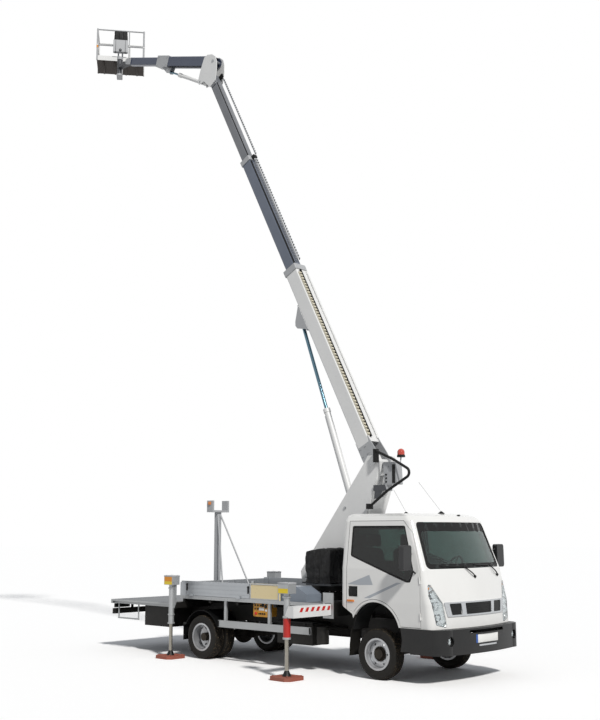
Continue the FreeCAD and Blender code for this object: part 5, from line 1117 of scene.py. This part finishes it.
# ---------------------------------------------------------------- bed and side
for side, sign in SIDES:
    board = "side_board_" + side
    stud = [(0, 5), (2, 5), (4, 3), (4, 1)]
    item = Shape().turned((-460, sign * 930.3, 912), (0, sign, 0), stud, 8).done("stud")
    repeat(f"deck_edge_studs_{side}", item, "truck", zinc_steel, 50, step=(59, 0, 0))

    # latches at the board's ends and rivets along its upper edge
    latch = Shape()
    for x in (-318, 1040):
        latch.block(x - 14, x + 14, *span(sign, 926.5, 933), 1010, 1120, bevel=2)
        latch.rod((x, sign * 934, 1030), (x, sign * 934, 1100), 6, 12)
        latch.block(x - 9, x + 9, *span(sign, 932, 946), 1092, 1106, bevel=3)
    latch.done("side_board_latches_" + side, board, trim_black, slot="bumper_plastic")
    item = Shape().turned((-300, sign * 926.3, 1148), (0, sign, 0), [(0, 4), (2, 3), (2, 1)], 8).done("rivet")
    repeat(f"side_board_rivets_{side}", item, board, zinc_steel, 14, step=(100, 0, 0))

    # frame round the fixed board
    bars = Shape()
    for x0, x1, z0, z1 in ((1074, 1096, 938, 1162), (1650, 1672, 938, 1162), (1097, 1649, 1146, 1162),
                           (1097, 1649, 938, 950)):
        bars.block(x0, x1, *span(sign, 924.5, 930), z0, z1, bevel=1)
    bars.done("fixed_board_frame_" + side, "truck", board_alloy, slot="aluminium")

    # end caps of the side guard
    guard = Shape()
    for x in (410, 2256):
        guard.block(x - 12, x + 12, *span(sign, 925.5, 928), 506, 594, bevel=1)
    guard.done("side_guard_caps_" + side, "truck", trim_black)

    # red sleeve of the front jack, and red and white bars on both faces of its beam
    beam = "front_beam_" + side
    sleeve = [(0, JACK_BORE), (0, 49), (250, 49), (250, JACK_BORE)]
    Shape().turned((FRONT_JACK[0], sign * FRONT_JACK[1], 530), (0, 0, 1), sleeve, 32, ends=False).done(
        "front_jack_sleeve_" + side, beam, jack_red, slot="jack_red")
    tape = Shape()
    for x0, x1 in ((2670.3, 2671.6), (2568.4, 2569.7)):
        tape.block(x0, x1, *span(sign, 965, 1592), 862, 918)
    tape.done("beam_hazard_tape_" + side, beam, hazard_tape, slot="jack_red")

    # all jacks: clamps round the tube, tape and a bolted lid on the head, ribs on the ground pad
    for axle, body, (x, from_middle), heights, r, h, tapes in (
            ("front", beam, FRONT_JACK, (512, 785, 1040), 55, 26, [("", 1106, 1166, yellow_tape)]),
            ("rear", "truck", REAR_JACK, (512, 640, 1040), 53, 22,
             [("_low", 1106, 1152, yellow_tape), ("_high", 1153, 1232, orange_tape)])):
        y = sign * from_middle
        clamps = Shape()
        for z in heights:
            clamp = [(0, JACK_BORE), (0, r - 2), (2, r), (h - 2, r), (h, r - 2), (h, JACK_BORE)]
            clamps.turned((x, y, z), (0, 0, 1), clamp, 32, ends=False)
        if axle == "front":
            clamps.block(x - 74, x - 50, y - 14, y + 14, 1044, 1062, bevel=2)
        clamps.done(f"{axle}_jack_clamps_{side}", body, galvanised, slot="aluminium")
        for name, low, high, tape in tapes:
            strip = Shape()
            strip.block(x - 88, x + 88, *sorted((y + sign * 75.3, y + sign * 77)), low, high)
            strip.block(x - 97, x - 95.3, *sorted((y + sign * 68, y - sign * 10)), low, high)
            strip.done(f"{axle}_head_tape{name}_{side}", body, tape)
        lid = Shape().block(x - 99, x + 99, y - 79, y + 79, 1222, 1243, bevel=3)
        for a, b in product((-70, 70), (-50, 50)):
            lid.turned((x + a, y + b, 1243), (0, 0, 1), [(0, 8), (5, 8), (6, 6), (6, 1)], 6)
        lid.done(f"{axle}_head_lid_{side}", body, plate_grey)
        ribs = Shape()
        for turn, k in product((45, 135), (-1, 1)):
            c, s = math.cos(math.radians(turn)), math.sin(math.radians(turn))
            corners = ((66 * k, -9), (196 * k, -7), (196 * k, 7), (66 * k, 9))
            ribs.loft([[(x + d * c - w * s, y + d * s + w * c, z) for d, w in corners] for z in (45.2, 58)],
                      bevel=1.5)
        ribs.done(f"{axle}_pad_ribs_{side}", f"{axle}_jack_{side}", pad_red, slot="jack_red")

# control box: push buttons, levers, a red stop button, blank cards and a hinged lid
face = -885.3
outwards = (0, -1, 0)
controls = Shape()
for x, z in ((1150, 850), (1205, 850), (1260, 850), (1315, 850), (1150, 800), (1205, 800)):
    controls.turned((x, face, z), outwards, [(0, 13), (7, 13), (10, 10), (10, 1)], 20)
lever = [(0, 14), (6, 13), (10, 6), (34, 5), (40, 9), (46, 6), (47, 1)]
for x in (1255, 1300, 1345):
    controls.turned((x, face, 735), outwards, lever, 16)
controls.turned((1365, face, 840), outwards, [(0, 26), (6, 26), (8, 22), (8, 1)], 28)
controls.done("control_box_buttons", "truck", trim_black, slot="bumper_plastic")
knob = [(0, 12), (12, 12), (14, 22), (24, 20), (28, 10), (29, 1)]
Shape().turned((1175, face, 735), outwards, knob, 28).done("control_box_stop", "truck", button_red)
cards = Shape().block(1228, 1330, face - 2, face, 780, 822, bevel=0.6)
cards.block(1350, 1392, face - 2, face, 770, 800, bevel=0.6).done("control_box_cards", "truck", plate_white)
lid = Shape().block(1106, 1414, -889, -700, 880, 890, bevel=3)
for x in (1140, 1380):
    lid.block(x - 12, x + 12, -893, face, 862, 884, bevel=2)
lid.done("control_box_lid", "truck", dark_steel)

# locker: lid seam, handle and hinges
face = -870.3
locker = Shape().block(1440, 1950, -872.5, face, 1102, 1107)
locker.block(1650, 1750, -882, face, 1050, 1076, bevel=4)
for x in (1500, 1880):
    locker.block(x - 20, x + 20, -874, face, 1082, 1126, bevel=1)
locker.done("locker_fittings", "truck", trim_black)

# fuel tank straps and cap, battery box lid
straps = Shape()
for x in (1260, 1930):
    for y0, y1, z0, z1 in ((434, 806, 330, 339.5), (434, 806, 640.5, 646), (434.6, 439.5, 331.2, 644.8),
                           (800.5, 805.4, 331.2, 644.8)):
        straps.block(x - 20, x + 20, y0, y1, z0, z1, bevel=1)
straps.turned((1600, 800.5, 560), (0, 1, 0), [(0, 44), (14, 44), (20, 38), (22, 2)], 32)
straps.done("fuel_tank_straps", "truck", galvanised)
battery = Shape().block(1492, 2188, -788, -430, 626, 652, bevel=6)
for x in (1640, 2040):
    battery.block(x - 16, x + 16, -796, -788.5, 560, 650, bevel=3)
battery.done("battery_box_lid", "truck", trim_black)

# rear: lamp clusters, blank plate and the bar below the platform
bar = Shape().block(-2236, -2196, -900, 900, 560, 650, bevel=6)
for y in (-500, 500):
    bar.block(-2230, -2202, y - 18, y + 18, 650, 772, bevel=2)
bar.done("rear_under_run_bar", "truck", chassis_paint)
for side, sign in SIDES:
    Shape().block(LAMP_BACK, -2200, *span(sign, 560, 870), 660, 728, bevel=5).done(
        "rear_lamp_case_" + side, "truck", trim_black)
    lenses = ((786, 862, amber_lens), (676, 782, red_lens), (568, 672, plate_white))
    for number, (a, b, tone) in enumerate(lenses):
        Shape().block(LAMP_BACK - 5, LAMP_BACK - 0.3, *span(sign, a, b), 667, 721, bevel=2).done(
            f"rear_lamp_lens_{number + 1}_{side}", "truck", tone)
Shape().block(-2239, -2236.3, -260, 260, 580, 640, bevel=0.8).done("rear_plate", "truck", plate_white)

# boom rest: amber lamp on the cradle, bolts at the foot
Shape().block(-668, -612, -204, -185.5, 2350, 2400, bevel=4).done("boom_rest_lamp", "truck", amber_lens)
bolts = Shape()
for a, b in product((-70, 70), (-70, 70)):
    bolts.turned((-640 + a, b, 812.3), (0, 0, 1), [(0, 10), (8, 10), (9, 8), (9, 2)], 6)
bolts.done("boom_rest_bolts", "truck", zinc_steel)


# ---------------------------------------------------------------- basket
hood("console_cover", "basket", (-361, -139, 636), (-149, 139, 884),
     "basket_console", place=BASKET, seed=8.0, sag=11.0)
ribs = Shape()
for y in (-330, -110, 110, 330):
    ribs.block(BASKET_FAR + 20, BASKET_NEAR - 20, y - 14, y + 14, BASKET_FLOOR - 22, BASKET_FLOOR - 0.3,
               bevel=2)
ribs.done("basket_floor_ribs", "basket", floor_ply, place=BASKET, slot="basket_paint")
mat = Shape().block(BASKET_FAR + 12, BASKET_NEAR - 12, -448, 448, BASKET_FLOOR + 8.3, BASKET_FLOOR + 12,
                    bevel=1)
mat.done("basket_floor_mat", "basket", hose_rubber, place=BASKET)
marks = Shape()
for x in (BASKET_NEAR, BASKET_FAR):
    marks.turned((x, -BASKET_HALF, 470), (0, 0, 1), [(0, 17.3), (0, 18.8), (70, 18.8), (70, 17.3)], 24,
                 ends=False)
marks.done("basket_post_reflectors", "basket", orange_tape, place=BASKET)
motor = Shape()
for y in (-95, 95):
    motor.block(-162, -72, y - 5, y + 5, 366, 624, bevel=2)
motor.turned((-73.7, 0, 404), (1, 0, 0), [(0, 26), (14, 26), (18, 20), (20, 2)], 24)
motor.done("basket_motor_fittings", "basket", dark_steel, place=BASKET, slot="steel_dark")
collar = [(0, 17.4), (2, 20), (24, 20), (26, 17.4)]
collars = Shape()
for x, y in product((BASKET_NEAR, BASKET_FAR), (-BASKET_HALF, BASKET_HALF, 170)):
    collars.turned((x, y, BASKET_FLOOR + 312), (0, 0, 1), collar, 24, ends=False)
collars.done("basket_rail_collars", "basket", basket_paint, place=BASKET, slot="basket_paint")


# ---------------------------------------------------------------- stage, light and camera
def white_backdrop():
    """World that lights the object evenly and is plain white where it is seen, mirrored or looked through."""
    world = bpy.data.worlds.new("studio")
    bpy.context.scene.world = world
    world.use_nodes = True
    tree = world.node_tree
    tree.nodes.clear()
    path = add(tree, "ShaderNodeLightPath", out=None)
    seen = path["Is Camera Ray"]
    for other in ("Is Glossy Ray", "Is Transmission Ray"):
        seen = add(tree, "ShaderNodeMath", {0: seen, 1: path[other]}, operation="MAXIMUM")
    lit = add(tree, "ShaderNodeBackground", {"Color": linear("#E9EEF5"), "Strength": WORLD_LIGHT})
    shown = add(tree, "ShaderNodeBackground", {"Color": (1, 1, 1, 1), "Strength": 1.0})
    mixed = add(tree, "ShaderNodeMixShader", {0: seen, 1: lit, 2: shown})
    add(tree, "ShaderNodeOutputWorld", {"Surface": mixed})


def pale_floor():
    """Ground that is white where it is lit and keeps the object's shadow, and bounces light as concrete."""
    material, tree, place = start("studio_floor")
    path = add(tree, "ShaderNodeLightPath", out=None)
    fine = add(tree, "ShaderNodeTexNoise", {"Vector": place, "Scale": 3.0, "Detail": 4.0})
    tone = blend_colour(tree, fine, linear("#C6C6C6"), linear("#CDCDCD"))
    ground = add(tree, "ShaderNodeBsdfDiffuse", {"Color": tone})
    white = add(tree, "ShaderNodeBsdfDiffuse", {"Color": (FLOOR_WHITE, FLOOR_WHITE, FLOOR_WHITE, 1)})
    seen = path["Is Camera Ray"]
    for other in ("Is Transmission Ray", "Is Glossy Ray"):
        seen = add(tree, "ShaderNodeMath", {0: seen, 1: path[other]}, operation="MAXIMUM")
    mixed = add(tree, "ShaderNodeMixShader", {0: seen, 1: ground, 2: white})
    add(tree, "ShaderNodeOutputMaterial", {"Surface": mixed})
    return material


white_backdrop()
ground = bpy.data.meshes.new("floor")
corners = [(x * FLOOR_REACH, y * FLOOR_REACH, FLOOR_TOP) for x, y in ((-1, -1), (1, -1), (1, 1), (-1, 1))]
ground.from_pydata(corners, [], [(0, 1, 2, 3)])
ground.materials.append(pale_floor())
floor = bpy.data.objects.new("floor", ground)
bpy.context.scene.collection.objects.link(floor)

# A high lamp ahead of the truck and to its right; its wide disc softens the shadow's edge.
sun = bpy.data.lights.new("sun", "SUN")
sun.energy = 2.65
sun.angle = math.radians(5)
sun.color = (1.0, 0.98, 0.95)
sun_place = bpy.data.objects.new("sun", sun)
towards = Vector((0.694, -0.324, 0.66))
sun_place.rotation_euler = towards.to_track_quat("Z", "Y").to_euler()
bpy.context.scene.collection.objects.link(sun_place)

lens = bpy.data.cameras.new("camera")
lens.lens = 51.535
lens.sensor_width = 36
lens.shift_x, lens.shift_y = -0.00103, 0.01183
lens.clip_end = 500
camera = bpy.data.objects.new("camera", lens)
camera.location = (12.108, -11.716, 1.884)
camera.rotation_euler = (math.radians(90 + 9.09), 0, math.radians(132.87 - 90))
bpy.context.scene.collection.objects.link(camera)
bpy.context.scene.camera = camera
bpy.context.scene.view_settings.view_transform = "Standard"
